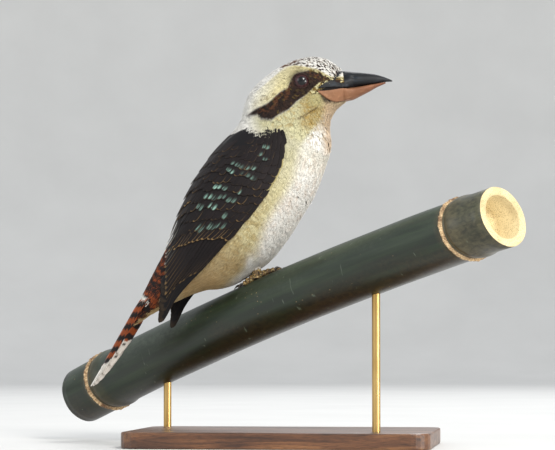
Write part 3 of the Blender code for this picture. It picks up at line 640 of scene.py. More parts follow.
def degrees_round(turn):
    """Degrees round the body, from 0 along the back to 180 below, the same on both sides."""
    return np.abs((turn / SKIN_TURNS + 0.5) % 1.0 - 0.5) * 360


def tailward_of(points):
    """Distances behind the wrist, along the trunk."""
    return (points[..., 0] - WRIST[0]) * TAILWARD[0] + (points[..., 2] - WRIST[2]) * TAILWARD[2]


def side_view(points):
    """Places in the plane of a side view taken a little ahead of square, the same for both sides."""
    ahead = points[..., 0] - SIDE_MIDDLE[0]
    near = np.abs(points[..., 1])
    far = SIDE_DISTANCE - near * 0.991 - ahead * 0.122
    right = (ahead * 0.9925 - near * 0.1219) * SIDE_DISTANCE / far + SIDE_MIDDLE[0]
    over = (points[..., 2] - SIDE_MIDDLE[1]) * 0.9986 + near * 0.0519 + ahead * 0.0064
    return right, SIDE_MIDDLE[1] + over * SIDE_DISTANCE / far


def soft_step(value, low, high):
    share = np.clip((value - low) / (high - low), 0.0, 1.0)
    return share * share * (3 - 2 * share)


def soft_fall(value, low, high):
    return 1 - soft_step(value, low, high)


def past(value, line, half):
    """A soft step that is halfway where the value meets a line."""
    return soft_step(value, line - half, line + half)


def edge_line(x, *points):
    """The height of a line of marks at x."""
    table = np.array(sorted(points))
    return np.interp(x, table[:, 0], table[:, 1])


WHITE = tone(244, 241, 233)
CREAM = tone(226, 216, 164)
STRAW = tone(214, 198, 138)
OLIVE = tone(164, 134, 66)
BUFF = tone(172, 142, 98)
EARTH = tone(112, 88, 54)
MASK_BROWN = tone(46, 28, 19)
RUSSET = tone(120, 72, 36)
SOOT = tone(26, 19, 18)
MANTLE = tone(26, 17, 19)
RUFOUS = tone(150, 72, 32)
SAGE = tone(186, 180, 130)
# lines of the markings in the side view: places across, and heights there
MASK_TOP = ((-0.040, 0.3290), (-0.037, 0.3310), (-0.0286, 0.3370), (-0.0165, 0.3430), (-0.0044, 0.3540),
            (0.003, 0.3580), (0.0055, 0.3650), (0.009, 0.3705), (0.016, 0.3735), (0.0224, 0.3752),
            (0.030, 0.3740), (0.0376, 0.3706), (0.044, 0.3665))
MASK_LOW = ((-0.040, 0.3275), (-0.0286, 0.3300), (-0.024, 0.3256), (-0.014, 0.3244), (-0.007, 0.3300),
            (0.003, 0.3350), (0.0125, 0.3444), (0.020, 0.3495), (0.027, 0.3560), (0.034, 0.3625),
            (0.044, 0.3655))
# lines that run up the front: heights, and places across there
FRONT_LINE = ((0.310, 0.021), (0.300, 0.017), (0.265, 0.009), (0.245, -0.003), (0.220, -0.019),
              (0.195, -0.027), (0.183, -0.031), (0.150, -0.070))
THROAT_LINE = ((0.290, 0.010), (0.305, 0.020), (0.318, 0.030), (0.330, 0.038), (0.345, 0.060))
# the crown's lower edge, then the outline of the bare bill, and the line of painted shade in the crease at
# the gape
CROWN_LINE = ((-0.030, 0.3530), (-0.010, 0.3700), (0.000, 0.3790), (0.010, 0.3805), (0.020, 0.3790),
              (0.032, 0.3765), (0.040, 0.3720), (0.046, 0.3690), (0.058, 0.3690))
BARE_BILL = ((0.0577, 0.3740), (0.0593, 0.3692), (0.0650, 0.3643), (0.0593, 0.3629), (0.0463, 0.3611),
             (0.0344, 0.3553), (0.0290, 0.3533), (0.0344, 0.3530), (0.0410, 0.3495), (0.0430, 0.3455),
             (0.0445, 0.3436), (0.0510, 0.3425), (0.0575, 0.3442), (0.0640, 0.3456), (0.0700, 0.3600))
CREASE_SHADE = ((0.012, 0.3265), (0.016, 0.3275), (0.0333, 0.3385))
# the mantle's front edge and the rump's side edge: degrees round or station, and the edge there
HEM = ((0, 0.0185), (30, 0.0170), (50, 0.0120), (65, 0.0055), (75, 0.0020), (91, -0.008), (180, 0.02))
RUMP_SIDE = ((17.0, 84), (19.0, 92), (20.5, 122), (22.0, 140))
LORE_SPOT = (0.0398, 0.3465)


def inside(outline, x, z):
    """Whether places lie inside an outline."""
    within = np.zeros(np.shape(x), bool)
    for (x0, z0), (x1, z1) in zip(outline, outline[1:] + outline[:1]):
        crosses = (z0 > z) != (z1 > z)
        with np.errstate(divide="ignore", invalid="ignore"):
            within ^= crosses & (x < x0 + (z - z0) / (z1 - z0) * (x1 - x0))
    return within


def paint(colour, amount, shade):
    """Paints over colours in place, by an amount from 0 to 1."""
    colour += (shade - colour) * np.clip(amount, 0, 1)[..., None]


def paint_head(colour, x, z, station, round_body, draw, other):
    head = soft_fall(station, 7.4, 8.4)
    side = soft_step(round_body, 14, 34)
    top, low = edge_line(x, *MASK_TOP), edge_line(x, *MASK_LOW)
    crown_line = edge_line(x, *CROWN_LINE)
    # the brow: straw round the eye, then cream and white towards the loose nape, with a few brown streaks
    brow = head * side * past(z, top, 0.001)
    paint(colour, brow * soft_step(x, -0.026, -0.002) * 0.75, STRAW)
    paint(colour, brow * soft_fall(z - top, 0.003, 0.014) * soft_step(x, -0.040, -0.012) * 0.5, STRAW)
    paint(colour, brow * soft_step(x, -0.045, -0.02) * 0.45, CREAM)
    flecks = (other > 0.86) * soft_fall(z - top, 0.006, 0.012) * soft_step(x, -0.036, -0.024)
    paint(colour, brow * flecks * 0.6, EARTH)
    # the cheek, throat and chin
    under = soft_fall(station, 7.4, 10.2) * (1 - past(z, low, 0.001))
    paint(colour, under * soft_step(x, -0.042, -0.022) * 0.85, SAGE)
    paint(colour, under * soft_step(x - edge_line(z, *THROAT_LINE), -0.004, 0.005), WHITE)
    under = under * head
    paint(colour, under * (other > 0.78) * soft_step(x, -0.030, -0.010) * 0.45, OLIVE)
    low_cheek = soft_step(x, 0.010, 0.022) * soft_step(z, 0.312, 0.322)
    paint(colour, under * low_cheek * (0.45 + 0.35 * other), OLIVE)
    paint(colour, under * soft_step(x, 0.018, 0.028) * soft_step(z, 0.3385, 0.3405) * 0.6, SAGE)
    paint(colour, under * soft_step(x, 0.034, 0.044) * 0.8, tone(212, 184, 152))
    # painted shade: a dark line along the crease at the gape
    crease_shade = np.exp(-((z - edge_line(x, *CREASE_SHADE)) / 0.0009) ** 2)
    crease_shade = crease_shade * soft_step(x, 0.010, 0.014) * soft_fall(x, 0.031, 0.035)
    paint(colour, under * crease_shade * 0.85, EARTH * 0.6)
    # the crown: white, some feathers with a small dark spot, and brown along its middle behind
    crown = head * past(z, crown_line, 0.001)
    crown = np.maximum(crown, head * soft_fall(round_body, 8, 20) * soft_step(x, -0.026, -0.016))
    paint(colour, crown, WHITE * 0.97)
    spotted = crown * (draw > 0.70) * soft_step(x, -0.002, 0.006)
    paint(colour, spotted, MASK_BROWN * (0.7 + 0.8 * other[..., None]))
    middle = crown * (x > -0.005) * (x < 0.016) * (draw > 0.35) * soft_fall(round_body, 16, 30)
    paint(colour, middle, RUSSET * 0.7)
    paint(colour, crown * (other > 0.86) * soft_step(round_body, 20, 30) * soft_step(x, 0.002, 0.010) * 0.7,
          EARTH)
    # before and under the eye: cream and olive streaks among dark
    lores = head * side * soft_step(x, 0.020, 0.026) * soft_step(z, 0.3505, 0.3525)
    lores = lores * soft_fall(z, crown_line - 0.002, crown_line)
    share = other[..., None]
    paint(colour, lores, np.select((share > 0.62, share > 0.30), (CREAM * 0.85, OLIVE * 0.55), MASK_BROWN))
    # the mask, and the dark skin at the bill's base
    mask = soft_step(np.minimum(top - z, z - low), -0.0010, 0.0012) * head * side
    paint(colour, mask * (x < 0.046), MASK_BROWN * (0.35 + 0.8 * share))
    lit = (other > 0.6) * soft_step(x, -0.034, -0.026) * soft_step(z - (top + low) / 2, -0.004, 0.003)
    paint(colour, mask * lit * 0.35, RUSSET)
    paint(colour, mask * (other < 0.10) * soft_step(x, -0.018, -0.008) * 0.4, OLIVE * 0.7)
    near_eye = np.exp(-(np.hypot(x - 0.0165, z - 0.3637) / 0.0125) ** 6)
    paint(colour, head * near_eye * side * 0.85, MASK_BROWN * 0.7)
    off_x, off_z = x - LORE_SPOT[0], z - LORE_SPOT[1]
    slant_long = (off_x * 0.62 - off_z * 0.78) / 0.0066
    slant_wide = (off_x * 0.78 + off_z * 0.62) / 0.0026
    paint(colour, head * np.exp(-(slant_long ** 2 + slant_wide ** 2) ** 2) * 0.9, SOOT)
    paint(colour, head * inside(BARE_BILL, x, z), SOOT)


def paint_trunk(colour, x, z, station, round_body, tailward, draw, other):
    """White down the front, sage at the side of the neck, olive cream flank, buff towards the tail."""
    trunk = soft_step(station, 7.6, 9.5)
    behind = soft_fall(x - edge_line(z, *FRONT_LINE), -0.009, 0.007)
    flank = trunk * behind * soft_step(round_body, 62, 80)
    paint(colour, flank * soft_fall(tailward, 0.0, 0.05) * 0.75, SAGE)
    paint(colour, flank * soft_step(tailward, -0.01, 0.04) * 0.9, CREAM * 0.93)
    paint(colour, flank * soft_step(tailward, 0.02, 0.08) * (0.25 + 0.75 * (other > 0.55)) * 0.55, OLIVE)
    paint(colour, flank * soft_step(tailward, 0.085, 0.125) * soft_fall(station, 18.0, 20.0) * 0.65, BUFF)
    vent = trunk * soft_step(tailward, 0.125, 0.150) * soft_step(round_body, 100, 130)
    paint(colour, vent * 0.55, BUFF * 1.2)
    paint(colour, trunk * (1 - behind) * (other > 0.72) * 0.25, tone(222, 200, 180))
    tuft = np.exp(-((x + 0.0345) / 0.0045) ** 2 - ((z - 0.180) / 0.009) ** 2)
    paint(colour, trunk * tuft * 1.2, WHITE)
    cloudy = np.sin(x * 460 + 3 * np.sin(z * 210)) * np.sin(z * 420 + 2.5 * np.sin(x * 300))
    stain = soft_step(cloudy, 0.2, 0.7) * soft_step(z, 0.200, 0.235)
    paint(colour, trunk * (1 - behind) * stain * 0.35, tone(206, 174, 146))
    wander = np.sin(tailward * 1500 + 5 * np.sin(round_body * 0.10 + 6 * draw) + 20 * draw)
    paint(colour, flank * soft_step(wander, 0.45, 0.9) * soft_fall(tailward, 0.05, 0.11) * 0.25, EARTH)


def paint_back(colour, station, round_body, tailward, draw, other):
    """A brown-black mantle behind the hem at the wrists, then a rufous rump barred with black."""
    share = other[..., None]
    hem = np.interp(round_body, *np.array(HEM).T) + (draw - 0.5) * 0.005
    back = past(tailward, hem, 0.0008) * soft_fall(round_body, 84, 92)
    paint(colour, back * (station > 8), MANTLE * (0.80 + 0.45 * share))
    rump_side = np.interp(station, *np.array(RUMP_SIDE).T)
    rump = soft_step(tailward, 0.130, 0.140) * (1 - past(round_body, rump_side, 4))
    paint(colour, rump, RUFOUS * (0.75 + 0.3 * share))
    waves = np.sin(tailward * math.tau / 0.0086 + 0.9 * draw + 1.2 * np.sin(round_body * 0.12))
    paint(colour, rump * np.maximum(soft_step(waves, -0.1, 0.2), (other > 0.7)), SOOT)
    paint(colour, rump * soft_step(tailward, 0.1985, 0.2005) * (round_body < 70), WHITE * 0.9)


def plumage_colour(points, run, turn, draw):
    """The bird's markings at places on its coat; draw holds a random share for each feather."""
    x, z = side_view(points)
    station, round_body, tailward = station_at(run), degrees_round(turn), tailward_of(points)
    other = (draw * 7.31) % 1.0
    colour = np.broadcast_to(WHITE, points.shape).copy()
    paint_head(colour, x, z, station, round_body, draw, other)
    paint_trunk(colour, x, z, station, round_body, tailward, draw, other)
    paint_back(colour, station, round_body, tailward, draw, other)
    return np.clip(colour, 0, 1)


def with_alpha(colours):
    return np.concatenate((colours, np.ones((*colours.shape[:-1], 1))), axis=-1).reshape(-1, 4)


def plumage(name):
    """Feather finish: the stored markings, broken by fine barbs, with a soft sheen."""
    coat = finish(name, tone(200, 190, 170), 0.72, Sheen_Weight=0.05, Sheen_Roughness=0.4,
                  Specular_IOR_Level=0.22)
    marks = stored(coat, "plumage", "Color")
    fine = mottle(coat, place(coat), 1500.0, 3.0)
    shade = mottle(coat, place(coat), 160.0, 3.0)
    colour = mixed(coat, marks, shades(coat, fine, (0.25, 0.80), (0.7, 1.0)), 1.0, "MULTIPLY")
    colour = mixed(coat, colour, shades(coat, shade, (0.3, 0.95), (0.65, 1.0)), 1.0, "MULTIPLY")
    return dress(coat, colour, None, fine, 0.00006)


def make_skin():
    run, turn = np.meshgrid(np.arange(SKIN_RUNS), np.arange(SKIN_TURNS), indexing="ij")
    depth = np.interp(STATIONS, *np.array(COAT_DEPTH).T)[:, None, None]
    points = OUTER - BODY["outward"][:SKIN_RUNS] * depth
    skin = piece("bird_skin", points, capped(SKIN_RUNS, SKIN_TURNS), plumage("bird_skin"))
    draw = np.random.default_rng(3).random((SKIN_RUNS, SKIN_TURNS))
    # painted shade: the coat's markings at three quarters, for the shade in the gaps between feathers
    note(skin, "plumage", with_alpha(plumage_colour(OUTER, run, turn, draw * 0.3) * 0.75))
    return skin


SKIN = make_skin()
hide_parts("head", "neck", "torso")


# Eyes: glass domes with a dark red-brown iris, as a taxidermist sets them. Each is held by dark lids with a
# fine wrinkled rim, which follow the dome's surface.
EYE_CENTRE = Vector((0.0193, 0.0215, 0.3611))
EYE_RADIUS = 0.0092
IRIS_RADIUS = 0.0076
LID_OPENING = (0.0081, 0.0068)
LID_THICK = 0.0012
GAZE = Vector((0.14, 1.0, 0.02)).normalized()
EYE_ROWS = 33
EYE_COLUMNS = 64
LID_STEPS = 72
LID_FACETS = 14


def eye_glass():
    glass = finish("eye_glass", tone(30, 12, 12), 0.3, Coat_Weight=0.6, Coat_Roughness=0.02, Coat_IOR=1.4,
                   Specular_IOR_Level=0.2)
    ring = stored(glass, "iris")
    outward = wire(glass, "SeparateXYZ", {"Vector": ring}).outputs["X"]
    rays = mottle(glass, stretched(glass, ring, (0.6, 26.0, 1.0)), 3.0, 4.0)
    iris = shades(glass, rays, (0.3, tone(30, 11, 14)), (0.7, tone(64, 26, 26)))
    colour = mixed(glass, tone(6, 6, 9), iris, shades(glass, outward, (0.52, 0.0), (0.62, 1.0)))
    rim = shades(glass, outward, (0.86, 0.0), (1.0, 1.0))
    return dress(glass, mixed(glass, colour, tone(14, 9, 8), rim))


def lid_skin():
    lids = finish("lid_skin", tone(44, 26, 22), 0.75, Specular_IOR_Level=0.2)
    wrinkles = mottle(lids, place(lids), 900.0, 4.0)
    colour = shades(lids, wrinkles, (0.35, tone(16, 10, 9)), (0.65, tone(54, 32, 26)))
    return dress(lids, colour, None, wrinkles, 0.0002)


def make_eye(side_name, side, centre):
    gaze = Vector((GAZE.x, side * GAZE.y, GAZE.z))
    over = gaze.cross(Vector((0.0, 0.0, 1.0))).normalized()
    up = over.cross(gaze).normalized()
    points, zones = [], []
    for row in range(EYE_ROWS):
        tilt = math.pi * (row + 0.02) / (EYE_ROWS - 0.96)
        dome = 0.00035 * math.exp(-(tilt / 0.55) ** 2)
        for column in range(EYE_COLUMNS):
            turn = math.tau * column / EYE_COLUMNS
            out = over * math.cos(turn) + up * math.sin(turn)
            points.append(centre + (gaze * math.cos(tilt) + out * math.sin(tilt)) * (EYE_RADIUS + dome))
            reach = EYE_RADIUS * math.sin(tilt) / IRIS_RADIUS if tilt < 1.5 else 1.2
            zones.append((reach, turn / math.tau, 0.0))
    faces = [face[::-side] for face in capped(EYE_ROWS, EYE_COLUMNS)]
    eye = piece("eye_glass_" + side_name, [tuple(p) for p in points], faces, GLASS)
    note(eye, "iris", zones)
    return eye


def make_lid(side_name, side, centre):
    points = []
    for k in range(LID_STEPS):
        turn = math.tau * k / LID_STEPS
        out = Vector((math.cos(turn), 0.0, math.sin(turn)))
        thick = LID_THICK * (1.0 + 0.10 * math.sin(22 * turn) + 0.06 * math.sin(35 * turn))
        reach = math.hypot(LID_OPENING[0] * math.cos(turn), LID_OPENING[1] * math.sin(turn))
        proud = max(math.sqrt(EYE_RADIUS ** 2 - reach ** 2), 0.0048)
        middle = centre + out * reach + Vector((0.0, side * proud, 0.0))
        ahead = Vector((-math.sin(turn), 0.0, math.cos(turn)))
        points += ring_round(middle, ahead, Vector((0.0, 1.0, 0.0)), thick * 1.25, thick, LID_FACETS)
    faces = grid_faces(LID_STEPS + 1, LID_FACETS) % len(points)
    return piece("eyelids_" + side_name, [tuple(p) for p in points], faces.tolist(), LIDS)


GLASS = eye_glass()
LIDS = lid_skin()
for side_name, side in (("right", -1), ("left", 1)):
    centre = Vector((EYE_CENTRE.x, side * EYE_CENTRE.y, EYE_CENTRE.z))
    eye = make_eye(side_name, side, centre)
    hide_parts("eye_" + side_name)
    make_lid(side_name, side, centre)


# Bill: a deep, broad bill, its upper half nearly black with a small nostril, its lower half a dull
# orange-brown. Each half is one shell of keratin over bone, and its base lies snug against the face.
BILL_UPPER = (
    # x and z of the top, x and z of the bottom, half width
    (0.0365, 0.3570, 0.0365, 0.3526, 0.0300),
    (0.0420, 0.3620, 0.0430, 0.3534, 0.0300),
    (0.0480, 0.3680, 0.0500, 0.3542, 0.0300),
    (0.0540, 0.3720, 0.0565, 0.3550, 0.0260),
    (0.0593, 0.3733, 0.0619, 0.3557, 0.0132),
    (0.0670, 0.3726, 0.0672, 0.3565, 0.0114),
    (0.0750, 0.3718, 0.0751, 0.3578, 0.0097),
    (0.0830, 0.3710, 0.0830, 0.3591, 0.0079),
    (0.0913, 0.3698, 0.0913, 0.3605, 0.0058),
    (0.0990, 0.3675, 0.0990, 0.3620, 0.0036),
    (0.1050, 0.3650, 0.1050, 0.3624, 0.0017),
    (0.1078, 0.3635, 0.1078, 0.3625, 0.0006),
)
BILL_LOWER = (
    # x and z of the top, x and z of the bottom, half width
    (0.0360, 0.3526, 0.0360, 0.3480, 0.0300),
    (0.0430, 0.3532, 0.0430, 0.3425, 0.0300),
    (0.0500, 0.3540, 0.0510, 0.3410, 0.0300),
    (0.0560, 0.3549, 0.0575, 0.3425, 0.0230),
    (0.0620, 0.3557, 0.0638, 0.3441, 0.0124),
    (0.0680, 0.3566, 0.0690, 0.3449, 0.0106),
    (0.0765, 0.3579, 0.0770, 0.3488, 0.0089),
    (0.0850, 0.3594, 0.0850, 0.3528, 0.0066),
    (0.0930, 0.3607, 0.0930, 0.3572, 0.0042),
    (0.1010, 0.3621, 0.1010, 0.3606, 0.0018),
)
NOSTRIL = (0.0700, 0.3665)
BILL_FACETS = 48
BILL_RUNS = 64
FACE_EDGE = 0.0598
HORN_LINE = ((0.0330, 0.3553), (0.0445, 0.3611), (0.0575, 0.3629), (0.0635, 0.3643))
FACE = tree_of("head")


def even_rows(table, count):
    """A table's rows at even steps, on a smooth curve through them."""
    table = np.array(table)
    at = np.linspace(0, len(table) - 1, count)
    row = np.minimum(at.astype(int), len(table) - 2)
    share = (at - row)[:, None]
    pull = np.gradient(table, axis=0)
    first, last = table[row], table[row + 1]
    cubed, squared = share ** 3, share ** 2
    return (first * (2 * cubed - 3 * squared + 1) + last * (3 * squared - 2 * cubed)
            + pull[row] * (cubed - 2 * squared + share) + pull[row + 1] * (cubed - squared))


def bill_half(table, flat):
    """Sections of one half; flat tells that it is the lower, which is flat on top."""
    rings = []
    for high_x, high_z, low_x, low_z, wide in even_rows(table, BILL_RUNS):
        ring = []
        for k in range(BILL_FACETS):
            turn = math.tau * (k + 0.5) / BILL_FACETS
            up = math.cos(turn)
            out = math.copysign(abs(math.sin(turn)) ** 0.75, math.sin(turn))
            height = 0.5 + 0.5 * math.copysign(abs(up) ** 0.8, up)
            narrow = 1.0 - 0.28 * (1.0 - height if flat else height) ** 1.5
            x = low_x + (high_x - low_x) * height
            z = low_z + (high_z - low_z) * height
            if not flat:
                ahead, above = (x - NOSTRIL[0]) / 0.0024, (z - NOSTRIL[1]) / 0.0010
                narrow -= 0.16 * math.exp(-ahead ** 2 - above ** 2)
                narrow += 0.03 * math.exp(-((height - 0.12) / 0.06) ** 2)
            y = wide * out * narrow
            face = FACE.ray_cast(Vector((min(x, FACE_EDGE), 0.06, z)), Vector((0.0, -1.0, 0.0)))[0]
            if face and face.y > 0.001:
                free = soft_step(x, FACE_EDGE, FACE_EDGE + 0.011)
                line = edge_line(x, *HORN_LINE)
                plumed = soft_step(z, line, line + 0.001) * (1 - free)
                snug = min(0.03 * abs(out) * narrow, face.y + 0.0004 - 0.0015 * plumed)
                y = math.copysign(free * abs(y) + (1 - free) * snug, out)
            ring.append(Vector((x, y, z)))
        rings.append(ring)
    return tube(rings)


def bill_horn(name, near, far, streak, gloss):
    horn = finish(name, near, gloss, Coat_Weight=0.06, Coat_Roughness=0.35, Specular_IOR_Level=0.25)
    reach = progress(horn, wire(horn, "SeparateXYZ", {"Vector": place(horn)}).outputs["X"], 0.058, 0.108)
    layers = mottle(horn, place(horn, (0.25, 1.0, 1.0)), 260.0, 6.0, 0.4)
    wear = mottle(horn, place(horn), 90.0, 4.0)
    colour = mixed(horn, near, far, shades(horn, reach, (0.0, 0.0), (1.0, 1.0)))
    colour = mixed(horn, colour, streak, shades(horn, layers, (0.54, 0.0), (0.74, 0.5)))
    colour = mixed(horn, colour, shades(horn, wear, (0.35, 0.70), (0.65, 1.0)), 0.8, "MULTIPLY")
    return dress(horn, colour, shades(horn, wear, (0.3, gloss + 0.12), (0.7, gloss - 0.06)), layers, 0.00012)


# the upper bill's pale bluish streaks are partly painted glint, standing for reflections on the dark horn
UPPER_HORN = bill_horn("bill_black", tone(10, 13, 17), tone(18, 19, 22), tone(44, 56, 68), 0.56)
LOWER_HORN = bill_horn("bill_orange", tone(138, 96, 68), tone(112, 66, 46), tone(178, 138, 102), 0.55)
upper_bill = piece("upper_bill", *bill_half(BILL_UPPER, False), UPPER_HORN)
lower_bill = piece("lower_bill", *bill_half(BILL_LOWER, True), LOWER_HORN)
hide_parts("bill_upper")
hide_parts("bill_lower")


# Body feathers: several thousand small contour feathers, each a fan of fine tapered locks of barbs rooted
# in the skin. They lie back along the body, part round the eyes, and grow longer from the face to the rump.
PLUME_SIZES = (
    # station, length on the back, length below, spacing on the back, spacing below
    (0.0, 0.0034, 0.0034, 0.00100, 0.00100),
    (2.0, 0.0046, 0.0046, 0.00110, 0.00115),
    (4.0, 0.0066, 0.0060, 0.00118, 0.00122),
    (6.0, 0.0130, 0.0084, 0.00148, 0.00140),
    (8.0, 0.0150, 0.0104, 0.0017, 0.0016),
    (11.0, 0.0150, 0.0130, 0.0021, 0.0019),
    (16.0, 0.0180, 0.0170, 0.0026, 0.0022),
    (19.0, 0.0190, 0.0190, 0.0027, 0.0025),
    (22.6, 0.0180, 0.0210, 0.0028, 0.0026),
)
EYE_CLEARANCE = 0.0098
EYE_OUT = 0.029
EYE_REACH = 0.03
# outline of the tuft that points forward, in the side view
FORWARD_TUFT = ((0.0480, 0.3640), (0.0560, 0.3740), (0.0620, 0.3740), (0.0660, 0.3640), (0.0580, 0.3626))
PATCH = 0.0015
# painted light at the feather tips and painted shade at their bases, as multiples of the markings
TIP_PAINTED_LIGHT = 1.06
BASE_PAINTED_SHADE = 0.66
ROOT_TRIES = 120000
SEARCH_CELL = 0.0036
LIE_WANDER = 0.10
LOCK_RIDGE = 0.34
LOCK_STRAY = 0.00012
FEATHER_DOMING = 0.0002
TUFT_RISE = 0.0009
TUFT_LONGER = 0.5
SIDE_LIGHT = 0.9


def read(net, run, turn):
    """Values of a net between its points; run goes along the form and turn round it, in steps."""
    run = np.clip(run, 0, net.shape[0] - 1.001)
    row, column = np.floor(run).astype(int), np.floor(turn).astype(int)
    down, aside = run - row, turn - column
    if net.ndim == 3:
        down, aside = down[..., None], aside[..., None]
    first, second = column % net.shape[1], (column + 1) % net.shape[1]
    above = net[row, first] * (1 - aside) + net[row, second] * aside
    below = net[row + 1, first] * (1 - aside) + net[row + 1, second] * aside
    return above * (1 - down) + below * down


def by_region(run, turn, back_column, below_column):
    """A size that changes along the body, and from the back to the belly."""
    table = np.array(PLUME_SIZES)
    station = station_at(run)
    below = 0.5 - 0.5 * np.cos(turn / SKIN_TURNS * math.tau)
    back_size = np.interp(station, table[:, 0], table[:, back_column])
    return back_size + (np.interp(station, table[:, 0], table[:, below_column]) - back_size) * below


def cells_round(key):
    """A cell of the search grid and those that touch it."""
    steps = (-1, 0, 1)
    return [(key[0] + a, key[1] + b, key[2] + c) for a in steps for b in steps for c in steps]


def scatter(draw, tries):
    """Roots spread evenly over the skin, each clear of its neighbours by the spacing of its region."""
    area = np.linalg.norm(np.cross(BODY["along"], BODY["around"]), axis=-1)[:SKIN_RUNS]
    run, turn = np.meshgrid(np.arange(SKIN_RUNS), np.arange(SKIN_TURNS), indexing="ij")
    spacing = by_region(run, turn, 3, 4)
    chance = (area / spacing ** 2).ravel()
    picked = draw.choice(chance.size, tries, p=chance / chance.sum())
    run = picked // SKIN_TURNS + draw.random(tries)
    turn = picked % SKIN_TURNS + draw.random(tries)
    points, spacing = read(OUTER, run, turn), by_region(run, turn, 3, 4)
    shelves, kept = {}, []
    for k in range(tries):
        x, y, z = points[k]
        key = (int(x // SEARCH_CELL), int(y // SEARCH_CELL), int(z // SEARCH_CELL))
        gap = spacing[k] ** 2
        others = (other for near in cells_round(key) for other in shelves.get(near, ()))
        if all((points[other, 0] - x) ** 2 + (points[other, 1] - y) ** 2 + (points[other, 2] - z) ** 2 >= gap
               for other in others):
            shelves.setdefault(key, []).append(k)
            kept.append(k)
    return run[kept], turn[kept]


def lie(form, points, run, turn, wander):
    """The way feathers lie, as parts along and round a form: back from the bill, and round each eye."""
    along, around = np.ones(len(points)), np.zeros(len(points))
    step_along, step_around = read(form["along"], run, turn), read(form["around"], run, turn)
    unit_along = step_along / np.linalg.norm(step_along, axis=1, keepdims=True)
    unit_around = step_around / np.linalg.norm(step_around, axis=1, keepdims=True)
    for side in (-1, 1):
        off = points - np.array((EYE_CENTRE.x, side * EYE_OUT, EYE_CENTRE.z))
        x, y = (off * unit_along).sum(1), (off * unit_around).sum(1)
        squared = np.maximum(x * x + y * y, EYE_CLEARANCE ** 2 * 0.9)
        pull = (EYE_CLEARANCE ** 2 / squared ** 2) * (np.linalg.norm(off, axis=1) < EYE_REACH)
        along -= pull * (x * x - y * y)
        around -= pull * 2 * x * y
    turned = np.where(inside(FORWARD_TUFT, *side_view(points)), math.pi, 0.0)
    angle = np.arctan2(around, along) + wander + turned
    return np.cos(angle), np.sin(angle)


def lock_faces(rows):
    """Faces of one lock: a tapered blade of three-cornered sections that ends in a point."""
    faces = [(2, 1, 0)]
    for row in range(rows - 2):
        for k in range(3):
            a, b = row * 3 + k, row * 3 + (k + 1) % 3
            faces.append((a, b, b + 3))
            faces.append((a, b + 3, a + 3))
    last = 3 * (rows - 1)
    faces += [(last - 3 + k, last - 3 + (k + 1) % 3, last) for k in range(3)]
    return np.array(faces)


def fan_of_locks(form, draw, run, turn, sizes, locks, rows, lift):
    """Feathers as fans of locks: their points, and the ways that light meets them, as soft plumage does.
    The rows are shares of a feather's length."""
    count = len(run)
    length, width, depth = sizes
    roots = read(form["points"], run, turn)
    tuft = inside(FORWARD_TUFT, *side_view(roots))[:, None]
    toward = lie(form, roots, run, turn, draw.normal(0, LIE_WANDER, count))
    step_along = np.linalg.norm(read(form["along"], run, turn), axis=1)
    step_around = np.linalg.norm(read(form["around"], run, turn), axis=1)
    lengths = length[:, None] * draw.uniform(0.86, 1.12, (count, 1)) * (1 + TUFT_LONGER * tuft)
    fan = (np.arange(locks) + 0.5) / locks * 2 - 1
    lengths = lengths * np.ones((1, locks)) * (1 - 0.20 * fan ** 2) * draw.uniform(0.93, 1.05, (count, locks))
    lifts = lift * draw.uniform(0.0, 1.0, (count, 1)) + draw.uniform(-LOCK_STRAY, LOCK_STRAY, (count, locks))
    unit_along = read(form["along"], run, turn) / step_along[:, None]
    unit_around = read(form["around"], run, turn) / step_around[:, None]
    beside = unit_around * toward[0][:, None] - unit_along * toward[1][:, None]
    points, faced = [], []
    for number, share in enumerate(rows):
        forward = lengths * share
        open_up = 0.25 + 0.75 * min(share / 0.55, 1.0) * (1.0 - 0.18 * max(share - 0.6, 0) / 0.4)
        aside = fan[None, :] * width[:, None] * 0.5 * open_up
        half = width[:, None] / locks * (0.42 + 0.30 * math.sin(math.pi * min(share * 0.9 + 0.1, 1.0)))
        half = half * np.ones((1, locks))
        height = -depth[:, None] * (1 - share) ** 1.6 + lifts * share ** 2
        height = height + FEATHER_DOMING * (1 - fan[None, :] ** 2) + TUFT_RISE * tuft
        section = ((0.0, 0.5),) if number == len(rows) - 1 else ((-1.0, 0.0), (0.0, 1.0), (1.0, 0.0))
        for out, ridge in section:
            x = aside + out * half
            move_along = forward * toward[0][:, None] - x * toward[1][:, None]
            move_around = forward * toward[1][:, None] + x * toward[0][:, None]
            at_run = run[:, None] + move_along / step_along[:, None]
            at_turn = turn[:, None] + move_around / step_around[:, None]
            tall = height + ridge * half * LOCK_RIDGE
            outward = read(form["outward"], at_run, at_turn)
            points.append(read(form["points"], at_run, at_turn) + outward * tall[..., None])
            faced.append(outward + SIDE_LIGHT * out * beside[:, None, :])
    return np.stack(points, axis=2), np.stack(faced, axis=2)


def mesh_from(name, points, corners, starts):
    """A mesh from arrays: points, the corners of its faces, and where each face starts in those."""
    mesh = bpy.data.meshes.new(name)
    mesh.vertices.add(points.size // 3)
    mesh.vertices.foreach_set("co", points.astype(np.float32).ravel())
    mesh.loops.add(len(corners))
    mesh.loops.foreach_set("vertex_index", corners.astype(np.int32))
    mesh.polygons.add(len(starts))
    mesh.polygons.foreach_set("loop_start", starts.astype(np.int32))
    mesh.update(calc_edges=True)
    return mesh


def feathered(name, mesh, places, colours):
    """An object of feathers, with each point's place on the bake map and its markings."""
    index = np.empty(len(mesh.loops), np.int32)
    mesh.loops.foreach_get("vertex_index", index)
    layer = mesh.uv_layers.new(name="OFBake")
    layer.data.foreach_set("uv", places.reshape(-1, 2)[index].astype(np.float32).ravel())
    made = clothed(name, mesh, PLUMAGE)
    note(made, "plumage", with_alpha(colours))
    return made


